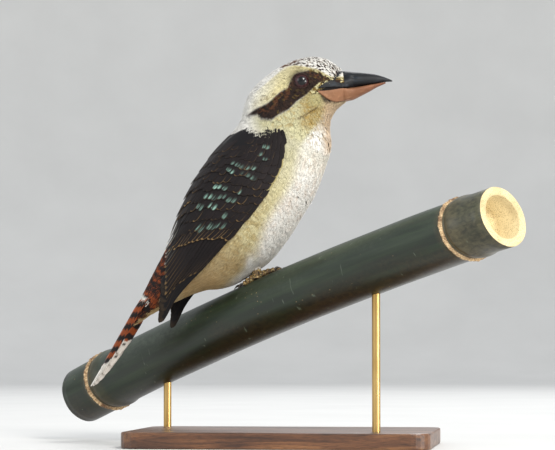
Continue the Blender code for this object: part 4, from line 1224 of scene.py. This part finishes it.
def build_coat(name, net, faced, faces, places, colours):
    """One object from feathers' locks."""
    count, locks, per_lock = net.shape[:3]
    corners = (faces[None] + np.arange(count * locks)[:, None, None] * per_lock).ravel()
    mesh = mesh_from(name, net, corners, np.arange(0, corners.size, 3))
    mesh.shade_smooth()
    faced = faced.reshape(-1, 3)
    faced = faced / np.linalg.norm(faced, axis=1, keepdims=True)
    mesh.normals_split_custom_set_from_vertices(faced.tolist())
    return feathered(name, mesh, places, colours)


def patch_places(form, run, turn, net, rows):
    """Each feather's small patch on an unwrap of the skin, at its root's place."""
    locks, per_lock = net.shape[1:3]
    u0, v0 = run / form["points"].shape[0], (turn / form["points"].shape[1]) % 1.0
    across = (np.arange(locks) / max(locks - 1, 1) * 2 - 1) * PATCH * 0.8
    corner_out = np.array([0.2 * (k % 3 - 1) for k in range(per_lock)]) * PATCH
    corner_up = np.array([k // 3 / (len(rows) - 1) * 2 - 1 for k in range(per_lock)]) * PATCH
    u = np.clip(u0[:, None, None] * 0.99 + 0.005 + corner_up + 0 * across[None, :, None], 0.0005, 0.9995)
    v = np.clip(v0[:, None, None] * 0.99 + 0.005 + across[None, :, None] + corner_out, 0.0005, 0.9995)
    return np.stack((u, v), axis=-1)


def feather_colours(draw, run, turn, net, rows):
    """Markings at each point of the locks; a feather keeps one random share. Painted shade darkens each lock
    towards its base, where others cover it, and painted light lifts its tip a little.
    """
    count, locks, per_lock = net.shape[:3]
    share = np.broadcast_to(draw.random(count)[:, None, None], net.shape[:3])
    whole = np.ones(net.shape[:3])
    ground = plumage_colour(net, run[:, None, None] * whole, turn[:, None, None] * whole, share)
    ground = ground * (0.70 + 0.32 * draw.random((count, locks, 1, 1)))
    along = np.array([rows[min(k // 3, len(rows) - 1)] for k in range(per_lock)])
    # painted shade at the base of each lock and painted light at its tip
    depth = BASE_PAINTED_SHADE + (TIP_PAINTED_LIGHT - BASE_PAINTED_SHADE) * along ** 1.2
    return np.clip(ground * depth[None, None, :, None], 0, 1)


DRAW = np.random.default_rng(21)
ROOT_RUN, ROOT_TURN = scatter(DRAW, ROOT_TRIES)
ROOT_POINTS = read(OUTER, ROOT_RUN, ROOT_TURN)
ROOT_STATION = station_at(ROOT_RUN)
ROOT_ROUND = degrees_round(ROOT_TURN)
ROOT_TAILWARD = tailward_of(ROOT_POINTS)
EYE_OVAL = (0.0098, 0.0080)
off_x, off_z = ROOT_POINTS[:, 0] - EYE_CENTRE.x, ROOT_POINTS[:, 2] - EYE_CENTRE.z
oval = (off_x / EYE_OVAL[0]) ** 2 + (off_z / EYE_OVAL[1]) ** 2
in_eye = (oval < 1) | inside(BARE_BILL, *side_view(ROOT_POINTS))
under_wing = (ROOT_TAILWARD > 0.022) & (ROOT_TAILWARD < 0.125) & (ROOT_ROUND > 36) & (ROOT_ROUND < 84)
BARE = in_eye | under_wing
COATS = (
    # name, stations, degrees round, locks, rows as shares of the length, lift, width as a share of the length
    ("face_feathers", (0.0, 3.2), (0, 181), 4, (0.0, 0.66, 1.0), 0.0003, 0.44),
    ("crown_feathers", (3.2, 5.6), (0, 181), 4, (0.0, 0.68, 1.0), 0.0004, 0.42),
    ("nape_feathers", (5.6, 8.0), (0, 181), 5, (0.0, 0.40, 0.76, 1.0), 0.0007, 0.40),
    ("neck_feathers", (8.0, 10.6), (0, 181), 7, (0.0, 0.70, 1.0), 0.0003, 0.52),
    ("breast_feathers", (10.6, 14.5), (80, 181), 8, (0.0, 0.71, 1.0), 0.0003, 0.54),
    ("belly_feathers", (14.5, 18.6), (80, 181), 8, (0.0, 0.72, 1.0), 0.0004, 0.54),
    ("vent_feathers", (18.6, 23.0), (80, 181), 7, (0.0, 0.42, 0.78, 1.0), 0.0006, 0.50),
    ("mantle_feathers", (10.6, 17.2), (0, 80), 7, (0.0, 0.45, 0.84, 1.0), 0.0003, 0.66),
    ("rump_feathers", (17.2, 21.4), (0, 80), 7, (0.0, 0.25, 0.4, 0.55, 0.7, 0.85, 1.0), 0.0003, 0.72),
)
PLUMAGE = plumage("feathers")
for name, stations, rounds, locks, rows, lift, plumpness in COATS:
    chosen = (ROOT_STATION >= stations[0]) & (ROOT_STATION < stations[1])
    chosen &= (ROOT_ROUND >= rounds[0]) & (ROOT_ROUND < rounds[1]) & ~BARE
    run, turn = ROOT_RUN[chosen], ROOT_TURN[chosen]
    length = by_region(run, turn, 1, 2)
    depth = np.interp(ROOT_STATION[chosen], *np.array(COAT_DEPTH).T)
    net, faced = fan_of_locks(BODY, DRAW, run, turn, (length, length * plumpness, depth), locks, rows, lift)
    colours = feather_colours(DRAW, run, turn, net, rows)
    patches = patch_places(BODY, run, turn, net, rows)
    coat = build_coat(name, net, faced, lock_faces(len(rows)), patches, colours)


# Wings: each folds against the body as it did in life, on an arm of skin over bone. Tiers of brown-black
# feathers lie like tiles from the shoulder to the tip, thinly edged with buff, and some coverts end in
# pale blue-green.
BACKWARD = np.array((-0.8192, 0.0, 0.5736))
WING_FORM = (
    # tailward, middle, half depth, half width
    (-0.010, 0.0000, 0.0490, 0.0430),
    (0.020, 0.0000, 0.0530, 0.0460),
    (0.040, 0.0003, 0.0543, 0.0490),
    (0.060, -0.0007, 0.0547, 0.0500),
    (0.080, -0.0011, 0.0541, 0.0495),
    (0.100, -0.0020, 0.0515, 0.0465),
    (0.118, -0.0002, 0.0458, 0.0420),
    (0.134, 0.0015, 0.0400, 0.0370),
    (0.150, 0.0040, 0.0350, 0.0330),
    (0.170, 0.0070, 0.0270, 0.0270),
    (0.190, 0.0070, 0.0190, 0.0210),
    (0.214, 0.0040, 0.0100, 0.0150),
)
WING_ARM = (
    # tailward, upper and lower turn, lift
    (-0.010, 50.0, 84.0, -0.0014),
    (0.002, 40.0, 94.0, -0.0002),
    (0.012, 32.0, 100.0, 0.0008),
    (0.022, 26.0, 104.0, 0.0014),
    (0.050, 18.0, 106.0, 0.0018),
    (0.080, 13.0, 104.0, 0.0018),
    (0.096, 11.0, 101.0, 0.0016),
    (0.112, 11.0, 94.0, 0.0012),
    (0.132, 16.0, 60.0, 0.0010),
)
WING_TIERS = (
    # name, count, low tip and root, high tip and root, root lift, tip lift, edge strength
    ("primary", 9, (0.2120, 103), (0.084, 100), (0.182, 62), (0.100, 80), 0.0009, 0.0006, 0.06),
    ("secondary_outer", 7, (0.1500, 100), (0.080, 100), (0.1880, 86), (0.104, 76), 0.0012, 0.0013, 0.35),
    ("secondary_inner", 9, (0.1850, 80), (0.104, 76), (0.152, 30), (0.110, 42), 0.0014, 0.0018, 0.42),
    ("tertial", 4, (0.1500, 27), (0.090, 38), (0.132, 12), (0.082, 18), 0.0014, 0.0034, 1.0),
    ("greater_covert", 15, (0.1030, 99.5), (0.066, 104), (0.147, 40), (0.098, 50), 0.0014, 0.0028, 0.7),
    ("median_covert", 15, (0.0920, 101.5), (0.060, 104.5), (0.134, 40), (0.096, 44), 0.0014, 0.0031, 0.25),
    ("median_covert", 15, (0.0800, 102.5), (0.052, 105), (0.120, 38), (0.086, 41), 0.0014, 0.0033, 0.25),
    ("median_covert", 15, (0.0700, 103.7), (0.044, 105.3), (0.107, 37), (0.077, 40), 0.0014, 0.0034, 0.2),
    ("lesser_covert", 15, (0.0600, 104.5), (0.037, 105.3), (0.095, 35), (0.068, 38), 0.0014, 0.0036, 0.2),
    ("lesser_covert", 15, (0.0510, 105), (0.030, 105), (0.084, 34), (0.059, 37), 0.0014, 0.0037, 0.15),
    ("lesser_covert", 15, (0.0420, 105.3), (0.022, 104), (0.073, 34), (0.050, 37), 0.0014, 0.0037, 0.15),
    ("lesser_covert", 14, (0.0340, 105), (0.015, 102.5), (0.063, 34), (0.041, 37), 0.0012, 0.0036, 0.12),
    ("lesser_covert", 14, (0.0260, 104.3), (0.008, 100), (0.053, 34), (0.032, 37), 0.0010, 0.0034, 0.12),
    ("lesser_covert", 14, (0.0180, 103.5), (0.001, 95.5), (0.043, 33), (0.023, 36), 0.0004, 0.0028, 0.10),
    ("lesser_covert", 14, (0.0110, 101.5), (-0.005, 91), (0.033, 33), (0.015, 37), -0.0004, 0.0020, 0.10),
    ("lesser_covert", 13, (0.0050, 98.5), (-0.011, 86), (0.024, 33), (0.006, 38), -0.0012, 0.0011, 0.08),
    ("lesser_covert", 12, (-0.0010, 94.5), (-0.016, 82), (0.015, 34), (-0.002, 40), -0.0020, 0.0001, 0.05),
    ("scapular", 6, (0.1130, 32), (0.076, 38), (0.128, 10), (0.092, 15), 0.0014, 0.0033, 0.55),
    ("scapular", 6, (0.0980, 33), (0.062, 40), (0.114, 10), (0.078, 15), 0.0014, 0.0036, 0.45),
    ("scapular", 6, (0.0820, 34), (0.048, 40), (0.099, 9), (0.063, 14), 0.0014, 0.0038, 0.4),
    ("scapular", 6, (0.0660, 35), (0.034, 40), (0.083, 9), (0.048, 13), 0.0012, 0.0037, 0.3),
    ("scapular", 6, (0.0500, 36), (0.020, 41), (0.067, 9), (0.033, 13), 0.0008, 0.0033, 0.2),
    ("scapular", 6, (0.0350, 38), (0.008, 43), (0.051, 9), (0.019, 13), 0.0002, 0.0025, 0.1),
)
FLIGHT_SHAPES = {"primary": "blunt", "secondary_outer": "long", "secondary_inner": "long", "tertial": "round"}
TIP_STRAY = {"blunt": (0.0009, 0.35), "long": (0.0009, 0.35), "round": (0.0013, 0.6)}
VANE_WIDTHS = {
    # share of the length, and width there as a share of the vane's usual width
    "blunt": ((0.0, 0.35), (0.2, 0.9), (0.5, 1.0), (0.8, 1.7),
              (0.94, 3.3), (0.97, 3.1), (0.99, 2.1), (1.0, 0.6)),
    "long": ((0.0, 0.35), (0.2, 0.9), (0.5, 1.0), (0.8, 1.0),
             (0.91, 0.84), (0.96, 0.62), (0.988, 0.36), (1.0, 0.06)),
    "round": ((0.0, 0.35), (0.25, 0.85), (0.7, 1.0), (0.85, 0.92),
              (0.92, 0.76), (0.96, 0.56), (0.985, 0.34), (1.0, 0.04)),
}
LEFT_WING_DROOP = 0.009
DROOP_START = 0.120
VANE_THICK = 0.00022
VANE_TILT = 0.0006
VANE_OVERLAP = 1.85
VANE_SWEEP = 0.10
VANE_BOW = 0.00035
VANE_RAGGED = 0.02
SHAFT_HEIGHT = 0.00014
ARM_DEPTH = 0.003
VANE_COLUMNS = (-1.0, -0.90, -0.84, -0.62, -0.4, -0.2, -0.05, 0.0, 0.05, 0.2, 0.4, 0.62, 0.84, 0.90, 1.0)
VANE_ROWS = (0.0, 0.10, 0.2, 0.3, 0.4, 0.5, 0.6, 0.68, 0.76, 0.82, 0.87, 0.91, 0.945, 0.97, 0.988, 1.0)
WING_BROWN = tone(22, 15, 16)
WING_BLACK = tone(12, 10, 13)
PALE_EDGE = tone(150, 120, 78)
WHITE_EDGE = tone(226, 220, 204)
BLUE_TIP = tone(146, 184, 168)
BLUE_REACH = 0.0056
BLUE_PLACES = np.array((
    # place across the picture, height, brightness
    (-0.025, 0.295, 0.6), (-0.025, 0.288, 0.7), (-0.051, 0.279, 0.6), (-0.060, 0.272, 0.9),
    (-0.047, 0.275, 0.4), (-0.035, 0.276, 0.5), (-0.040, 0.267, 0.4), (-0.068, 0.257, 1.0),
    (-0.064, 0.256, 0.9), (-0.071, 0.248, 1.0), (-0.082, 0.245, 1.0), (-0.076, 0.235, 1.0),
    (-0.063, 0.242, 0.6), (-0.052, 0.247, 0.5), (-0.086, 0.233, 0.9), (-0.090, 0.216, 0.6),
    (-0.082, 0.218, 0.7), (-0.074, 0.220, 0.6), (-0.066, 0.222, 0.5),
))
ARM_RUNS = 40
ARM_TURNS = 21


def body_point(tailward, backward, out):
    """A point by its places along, behind and beside the trunk's middle line."""
    return (WRIST + TAILWARD * tailward[..., None] + BACKWARD * backward[..., None]
            + np.array((0.0, 1.0, 0.0)) * out[..., None])


FORM_CURVE = even_rows(WING_FORM, 120)


def wing_point(side, tailward, turn, lift):
    """A point on the folded wing, turned in degrees from the back round the body and lifted off it."""
    middle, deep, wide = (np.interp(tailward, FORM_CURVE[:, 0], FORM_CURVE[:, k]) for k in (1, 2, 3))
    if side > 0:
        middle = middle - LEFT_WING_DROOP * np.clip((tailward - DROOP_START) / 0.094, 0, None) ** 1.5
    turn = np.radians(turn)
    return body_point(tailward, middle + (deep + lift) * np.cos(turn), side * (wide + lift) * np.sin(turn))


def wing_vane(side, root, tip, widths, lifts, shape, draw):
    """One vane as a closed flat tube of rings: its upper edge lies under the next feather behind it."""
    share = np.array(VANE_ROWS)[:, None]
    across = np.array(VANE_COLUMNS)[None, :]
    tailward = root[0] + (tip[0] - root[0]) * share
    turn = root[1] + (tip[1] - root[1]) * share
    lift = lifts[0] + (lifts[1] - lifts[0]) * share
    per_degree = np.linalg.norm(wing_point(side, tailward, turn + 0.5, lift)
                                - wing_point(side, tailward, turn - 0.5, lift), axis=-1)
    ahead, aside = tip[0] - root[0], (tip[1] - root[1]) * per_degree
    reach = np.hypot(ahead, aside)
    breadth = np.interp(share, *np.array(VANE_WIDTHS[shape]).T)
    breadth = breadth * (1 + VANE_RAGGED * draw.normal(0, 1, share.shape))
    width = widths[0] + (widths[1] - widths[0]) * share
    half = np.radians(width) * per_degree / math.radians(1.0) / 2 * breadth
    out_along = tailward - aside / reach * half * across - VANE_SWEEP * half * across ** 2
    out_round = turn + ahead / reach * half * across / per_degree
    lean = VANE_TILT * across * np.minimum(breadth, 1.0) - VANE_BOW * across ** 2
    shaft = SHAFT_HEIGHT * (np.abs(across) < 0.05) * (1 - 0.7 * share)
    thick = VANE_THICK / 2 * (1 - 0.5 * np.abs(across))
    upper = wing_point(side, out_along, out_round, lift + lean + thick + shaft)
    lower = wing_point(side, out_along, out_round, lift + lean - thick)
    return np.concatenate((upper, lower[:, ::-1]), axis=1)


def vane_marks(colour, edge, edge_strength, tip_strength, spot, low_edge, draw):
    """Colours over a vane: a thin paler edge and tip, pale streaks before the tip, and a pale low side. Its
    underside is a darker copy of these, as painted shade.
    """
    share = np.array(VANE_ROWS)[:, None]
    across = np.abs(np.array(VANE_COLUMNS))[None, :]
    lower = np.array(VANE_COLUMNS)[None, :] > 0.75
    marks = np.broadcast_to(colour, (len(VANE_ROWS), len(VANE_COLUMNS), 3)).copy()
    marks *= 0.82 + 0.30 * draw.random((1, len(VANE_COLUMNS), 1))
    rim = np.maximum((across > 0.87) * edge_strength * soft_step(share, 0.45, 0.95),
                     (share > 0.955) * tip_strength)
    marks += (edge - marks) * np.clip(rim, 0, 1)[..., None]
    patch = soft_step(share, 0.70, 0.86) * (1 - soft_step(share, 0.93, 0.97)) * (across < 0.8)
    patch = patch * spot * draw.choice((0.0, 0.2, 0.6, 1.0), (1, len(VANE_COLUMNS)))
    marks += (BLUE_TIP * draw.uniform(0.6, 1.05) - marks) * np.clip(patch, 0, 1)[..., None]
    marks += (STRAW * 0.75 - marks) * (low_edge * lower * np.ones_like(share))[..., None]
    # painted shade: the underside copies the upper side's markings at seven tenths
    return np.concatenate((marks, marks[:, ::-1] * 0.7), axis=1)


def build_vanes(name, rings, colours):
    """One object from vanes of like rings; each has its own cell of the bake map."""
    rings, colours = np.array(rings), np.array(colours)
    count, rows, corners = rings.shape[:3]
    quads = grid_faces(rows, corners)[None] + (np.arange(count) * rows * corners)[:, None, None]
    caps = []
    for start in np.arange(count) * rows * corners:
        caps.append(np.arange(corners)[::-1] + start)
        caps.append(np.arange(corners) + start + (rows - 1) * corners)
    loops = np.concatenate((quads.ravel(), *caps))
    starts = np.concatenate((np.arange(quads.size // 4) * 4, quads.size + np.arange(len(caps)) * corners))
    mesh = mesh_from(name, rings, loops, starts)
    mesh.validate()
    mesh.shade_smooth()
    cells = math.ceil(math.sqrt(count))
    row, corner = np.meshgrid(np.arange(rows), np.arange(corners), indexing="ij")
    half = corners // 2
    u = np.where(corner < half, corner, corners - 1 - corner) / (half - 1) * 0.44
    u = u + np.where(corner < half, 0.02, 0.52)
    v = row / (rows - 1) * 0.94 + 0.03
    cell = np.arange(count)[:, None, None]
    places = np.stack(((cell % cells + u) / cells, (cell // cells + v) / cells), axis=-1)
    return feathered(name, mesh, places, colours)


def wing_arm(side_name, side):
    """The wing's arm under its coverts: one curved plate of skin and down, painted near-black as the shade
    seen between the tiers.
    """
    rings = []
    for tailward, upper, lower, lift in even_rows(WING_ARM, ARM_RUNS):
        turns = np.linspace(upper, lower, ARM_TURNS)
        ahead = np.full(ARM_TURNS, tailward)
        inner = wing_point(side, ahead, turns, -ARM_DEPTH)[::-1]
        rings.append(np.concatenate((wing_point(side, ahead, turns, lift), inner)))
    plate = piece("wing_arm_" + side_name, np.array(rings), capped(ARM_RUNS, 2 * ARM_TURNS), PLUMAGE)
    # painted shade: the plate is near-black, for the shade in the gaps between the feathers over it
    note(plate, "plumage", with_alpha(np.broadcast_to(WING_BLACK, (2 * ARM_RUNS * ARM_TURNS, 3))))


def tier_marks(tier, edge, k, net, tip, draw):
    """Markings of one feather of a tier; k counts from the low side, and net holds its points."""
    x, z = side_view(net[-2, 0][None])
    off_blue = np.hypot(BLUE_PLACES[:, 0] - x, BLUE_PLACES[:, 1] - z)
    spot = (off_blue.min() < BLUE_REACH) * ("covert" in tier) * BLUE_PLACES[off_blue.argmin(), 2]
    ground = WING_BLACK if tier == "primary" else WING_BROWN * draw.uniform(0.7, 1.1)
    rim = WHITE_EDGE if tier == "tertial" or tier == "secondary_inner" and k > 5 else PALE_EDGE
    strength = edge * draw.uniform(0.5, 1.1)
    if tier not in FLIGHT_SHAPES and tier != "greater_covert":
        strength *= draw.choice((0.2, 0.5, 2.2), p=(0.5, 0.3, 0.2))
    low_edge = 0.7 * (k == 0 and tier == "lesser_covert" and 0.015 < tip[0] < 0.045)
    return vane_marks(ground, rim, strength, min(strength * 1.3, 1.0), spot, low_edge, draw)


def wing_feathers(side, draw):
    """Points and markings of all vanes, apart for each piece of the wing."""
    pieces = {"flight_feathers_": ([], []), "wing_coverts_": ([], []), "lesser_coverts_": ([], [])}
    for tier, count, low_tip, low_root, high_tip, high_root, root_lift, tip_lift, edge in WING_TIERS:
        shape = FLIGHT_SHAPES.get(tier, "round")
        covert = "lesser_coverts_" if tier == "lesser_covert" else "wing_coverts_"
        nets, marks = pieces["flight_feathers_" if tier in FLIGHT_SHAPES else covert]
        widths = [abs(high[1] - low[1]) / (count - 1) * VANE_OVERLAP
                  for high, low in ((high_root, low_root), (high_tip, low_tip))]
        for k in range(count):
            share = k / (count - 1)
            root = np.array(low_root) + (np.array(high_root) - low_root) * share
            tip = np.array(low_tip) + (np.array(high_tip) - low_tip) * share
            tip = tip + draw.normal(0, 1, 2) * TIP_STRAY[shape]
            lifts = (root_lift, tip_lift + draw.normal(0, 0.00008))
            nets.append(wing_vane(side, root, tip, widths, lifts, shape, draw))
            marks.append(tier_marks(tier, edge, k, nets[-1], tip, draw))
    return pieces


for side_name, side in (("right", -1), ("left", 1)):
    feathers = wing_feathers(side, np.random.default_rng(31))
    wing_arm(side_name, side)
    for name, (nets, marks) in feathers.items():
        made = build_vanes(name + side_name, nets, marks)
        if name == "flight_feathers_":
            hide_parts("wing_" + side_name)


# Tail: twelve long rufous quills barred with black, the outer ones white along the edge and at the tip.
# They lie like a low roof, the middle pair on top, and are rooted in the rump.
TAIL_TOP = 0.0350
TAIL_TOP_AT = 0.190
TAIL_SLOPE = 0.0935
TAIL_ROOF = 0.27
TAIL_LAYER = 0.0009
TAIL_ROOT = 0.172
TAIL_FREE = 0.216
TAIL_SUNK = 0.0035
TAIL_PARTING = 0.0006
TAIL_BOW = 0.0004
TAIL_SHAFT = 0.00015
TAIL_FEATHERS = (
    # tailward place of the tip, reach out from the middle; the middle pair comes first
    (0.3045, 0.0120),
    (0.3020, 0.0145),
    (0.2970, 0.0168),
    (0.2890, 0.0190),
    (0.2780, 0.0208),
    (0.2640, 0.0222),
)
TAIL_TIP_SHAPE = (
    # before the tip, inner edge and outer edge as shares of the reach
    (0.038, 0.02, 1.0),
    (0.015, 0.03, 0.93),
    (0.005, 0.12, 0.76),
    (0.0015, 0.20, 0.64),
    (0.0, 0.36, 0.46),
)
TAIL_ROWS = 96
TAIL_COLUMNS = 9
TAIL_BAR_STEP = 0.0130
WHITE_FROM = (0.2810, 0.2800, 0.2780, 0.2730, 0.2640, 0.2490)
RUST = tone(164, 80, 34)
TAIL_BLACK = tone(28, 20, 20)


def tail_point(tailward, out, lift):
    top = TAIL_TOP - TAIL_SLOPE * (tailward - TAIL_TOP_AT)
    return body_point(tailward, top - TAIL_ROOF * np.abs(out) + lift, out)


def tail_vane(side, index, draw):
    """Points and markings of one tail feather; index counts outward from the middle pair."""
    tip, reach = TAIL_FEATHERS[index]
    stations = [(TAIL_ROOT, TAIL_PARTING, 0.35 * reach, -TAIL_SUNK),
                (TAIL_FREE, TAIL_PARTING, 0.90 * reach, 0.0)]
    stations += [(tip - before, inner * reach, outer * reach, 0.0) for before, inner, outer in TAIL_TIP_SHAPE]
    stations = np.array(stations)
    share = np.linspace(0, 1, TAIL_ROWS) ** 0.9
    tailward = (TAIL_ROOT + (tip - TAIL_ROOT) * share)[:, None]
    inner, outer, sunk = (np.interp(tailward, stations[:, 0], stations[:, k]) for k in (1, 2, 3))
    inner = np.maximum(inner, TAIL_PARTING)
    outer = outer * (1 + 0.006 * draw.normal(0, 1, outer.shape))
    across = np.linspace(0, 1, TAIL_COLUMNS)[None, :]
    out = inner + (outer - inner) * across
    lift = sunk - TAIL_LAYER * index + TAIL_BOW * (1 - (2 * across - 1) ** 2)
    lift = lift + TAIL_SHAFT * (np.abs(across - 0.5) < 0.05)
    tailward = tailward * np.ones_like(across)
    upper = tail_point(tailward, side * out, lift + VANE_THICK / 2)
    lower = tail_point(tailward, side * out, lift - VANE_THICK / 2)
    edge = WHITE_FROM[index] - 0.006 * soft_step(across, 0.6, 0.95)
    white = soft_step(tailward, edge - 0.001, edge + 0.001)
    chevron = tailward + 0.004 * np.abs(across - 0.5) + 0.0012 * np.sin(across * 9 + index * 2)
    wave = np.sin((chevron + 0.0012 * index) / TAIL_BAR_STEP * math.tau + draw.normal(0, 0.25))
    bars = soft_step(wave, -0.10, 0.10)
    near_tip = soft_step(tailward, edge + 0.001, edge + 0.003)
    spots = np.exp(-((tailward - (edge + 0.0035)) / 0.0014) ** 2) * (np.abs(across - 0.5) < 0.2)
    marks = np.broadcast_to(RUST, (*tailward.shape, 3)).copy()
    marks *= 0.88 + 0.2 * draw.random((1, TAIL_COLUMNS, 1))
    marks += (tone(242, 236, 226) - marks) * white[..., None]
    marks += (TAIL_BLACK - marks) * (bars * (1 - near_tip))[..., None]
    marks += (TAIL_BLACK - marks) * np.clip(spots, 0, 1)[..., None]
    # painted shade: the underside copies the upper side's markings at eight tenths
    marks = np.concatenate((marks, marks[:, ::-1] * 0.8), axis=1)
    return np.concatenate((upper, lower[:, ::-1]), axis=1), marks


draw = np.random.default_rng(41)
tail_vanes = [tail_vane(side, index, draw) for side in (-1, 1) for index in range(len(TAIL_FEATHERS))]
TAIL = build_vanes("tail_feathers", *zip(*tail_vanes))
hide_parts("tail")


# Thighs: short soft white feathers over the skin of each lower leg. They hang like a trouser, down to the
# bare shank.
THIGH_PROFILE = ((0.0, 0.0120), (0.35, 0.0110), (0.7, 0.0078), (1.0, 0.0042))
HIP = (-0.010, 0.004, 0.030)
THIGH_RUNS = 40
THIGH_TURNS = 48
THIGH_FEATHERS = 700
THIGH_LOCKS = 4
THIGH_ROWS = (0.0, 0.5, 1.0)
THIGH_SKIN_DEPTH = 0.0012


def thigh_form(side, along, turn):
    """A leg's outer surface, which narrows from the hip to the ankle."""
    ankle = np.array(culm_point(along, math.radians(turn), CULM_RADIUS)) + (-0.001, 0.0, ANKLE_HEIGHT)
    hip = ankle + np.array((HIP[0], -side * HIP[1], HIP[2]))
    down = (ankle - hip) / np.linalg.norm(ankle - hip)
    across = np.cross(down, (0.0, 1.0, 0.0))
    across /= np.linalg.norm(across)
    beside = np.cross(across, down)
    share = np.linspace(0, 1, THIGH_RUNS)[:, None, None]
    round_leg = np.linspace(0, math.tau, THIGH_TURNS, endpoint=False)[None, :, None]
    rays = across * np.cos(round_leg) + beside * np.sin(round_leg) + 0 * share
    radius = np.interp(share, *np.array(THIGH_PROFILE).T)
    return form_of(hip + (ankle - hip) * share + rays * radius, rays)


for side_name, side, along, turn in FEET:
    thigh = thigh_form(side, along, turn)
    leg = piece("leg_skin_" + side_name, thigh["points"] - thigh["outward"] * THIGH_SKIN_DEPTH,
                capped(THIGH_RUNS, THIGH_TURNS), PLUMAGE)
    # painted shade: the skin is darkened cream, for the shade in the gaps between the white thigh feathers
    note(leg, "plumage", with_alpha(np.broadcast_to(CREAM * 0.8, (THIGH_RUNS * THIGH_TURNS, 3))))
    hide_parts("leg_" + side_name)
    draw = np.random.default_rng(51)
    run = draw.uniform(2, THIGH_RUNS - 2, THIGH_FEATHERS)
    turn = draw.uniform(0, THIGH_TURNS, THIGH_FEATHERS)
    length = np.interp(run, (0, THIGH_RUNS), (0.010, 0.005))
    sizes = (length, length * 0.4, THIGH_SKIN_DEPTH + 0 * length)
    net, faced = fan_of_locks(thigh, draw, run, turn, sizes, THIGH_LOCKS, THIGH_ROWS, 0.0008)
    shade = np.broadcast_to(tone(238, 232, 220), net.shape)
    shade = shade * draw.uniform(0.82, 1.0, (THIGH_FEATHERS, THIGH_LOCKS, 1, 1))
    faces = lock_faces(len(THIGH_ROWS))[:, ::-1]
    trouser = build_coat("thigh_feathers_" + side_name, net, faced, faces,
                         patch_places(thigh, run, turn, net, THIGH_ROWS), shade)


# Stage: a plain pale floor that curves up far off all round, and soft studio lights. The camera looks
# from the bird's right side, slightly from the front and a little from below.
FLOOR_RADIUS = 4.5
RIM_RADIUS = 1.5
RIM_STEPS = 16
FLOOR_FACETS = 96


def make_floor():
    profile = [(0.02, 0.0), (FLOOR_RADIUS, 0.0)]
    for k in range(1, RIM_STEPS + 1):
        turn = math.radians(90 * k / RIM_STEPS)
        profile.append((FLOOR_RADIUS + RIM_RADIUS * math.sin(turn), RIM_RADIUS * (1 - math.cos(turn))))
    points = []
    for radius, height in profile:
        for k in range(FLOOR_FACETS):
            turn = math.tau * k / FLOOR_FACETS
            points.append((radius * math.cos(turn), radius * math.sin(turn), height))
    faces = [face[::-1] for face in grid_faces(len(profile), FLOOR_FACETS).tolist()]
    faces.append(list(range(FLOOR_FACETS)))
    mesh = bpy.data.meshes.new("studio_floor")
    mesh.from_pydata(points, [], faces)
    mesh.shade_smooth()
    paper = finish("studio_paper", tone(204, 204, 202), 0.9)
    clouds = mottle(paper, place(paper), 5.0)
    mesh.materials.append(dress(paper, shades(paper, clouds, (0.3, tone(202, 202, 200)),
                                              (0.7, tone(207, 207, 205)))))
    add_object("studio_floor", mesh)


def add_light(name, spot, aim, size, watts, colour=(1.0, 1.0, 1.0)):
    lamp = bpy.data.lights.new(name, "AREA")
    lamp.size = size
    lamp.energy = watts
    lamp.color = colour
    light = add_object(name, lamp)
    light.location = spot
    light.rotation_euler = (Vector(spot) - Vector(aim)).to_track_quat("Z", "Y").to_euler()


make_floor()
AIM = (0.0, 0.0, 0.22)
add_light("key", (2.2, -3.0, 3.0), AIM, 1.3, 190.0, (1.0, 0.98, 0.94))
add_light("fill", (-2.8, -2.4, 1.6), AIM, 2.2, 34.0, (0.95, 0.98, 1.0))
add_light("back", (0.6, 2.6, 3.0), AIM, 1.6, 70.0)
add_light("front", (3.2, -1.8, 0.35), AIM, 1.2, 80.0, (1.0, 0.97, 0.93))
world = bpy.data.worlds.new("studio")
world.use_nodes = True
background = world.node_tree.nodes["Background"]
background.inputs["Color"].default_value = (0.92, 0.95, 1.0, 1.0)
background.inputs["Strength"].default_value = 0.75
bpy.context.scene.world = world

bpy.context.scene.view_settings.view_transform = "Standard"
VIEW_AZIMUTH = math.radians(7.0)
VIEW_ELEVATION = math.radians(-3.0)
VIEW_DISTANCE = 2.4
VIEW_TARGET = Vector((-0.0075, 0.0, 0.220))
VIEW_WIDTH = 0.555
camera_data = bpy.data.cameras.new("camera")
camera_data.sensor_width = 36.0
camera_data.lens = camera_data.sensor_width * VIEW_DISTANCE / VIEW_WIDTH
camera = add_object("camera", camera_data)
back_off = Vector((math.sin(VIEW_AZIMUTH) * math.cos(VIEW_ELEVATION),
                   -math.cos(VIEW_AZIMUTH) * math.cos(VIEW_ELEVATION), math.sin(VIEW_ELEVATION)))
camera.location = VIEW_TARGET + back_off * VIEW_DISTANCE
camera.rotation_euler = back_off.to_track_quat("Z", "Y").to_euler()
bpy.context.scene.camera = camera
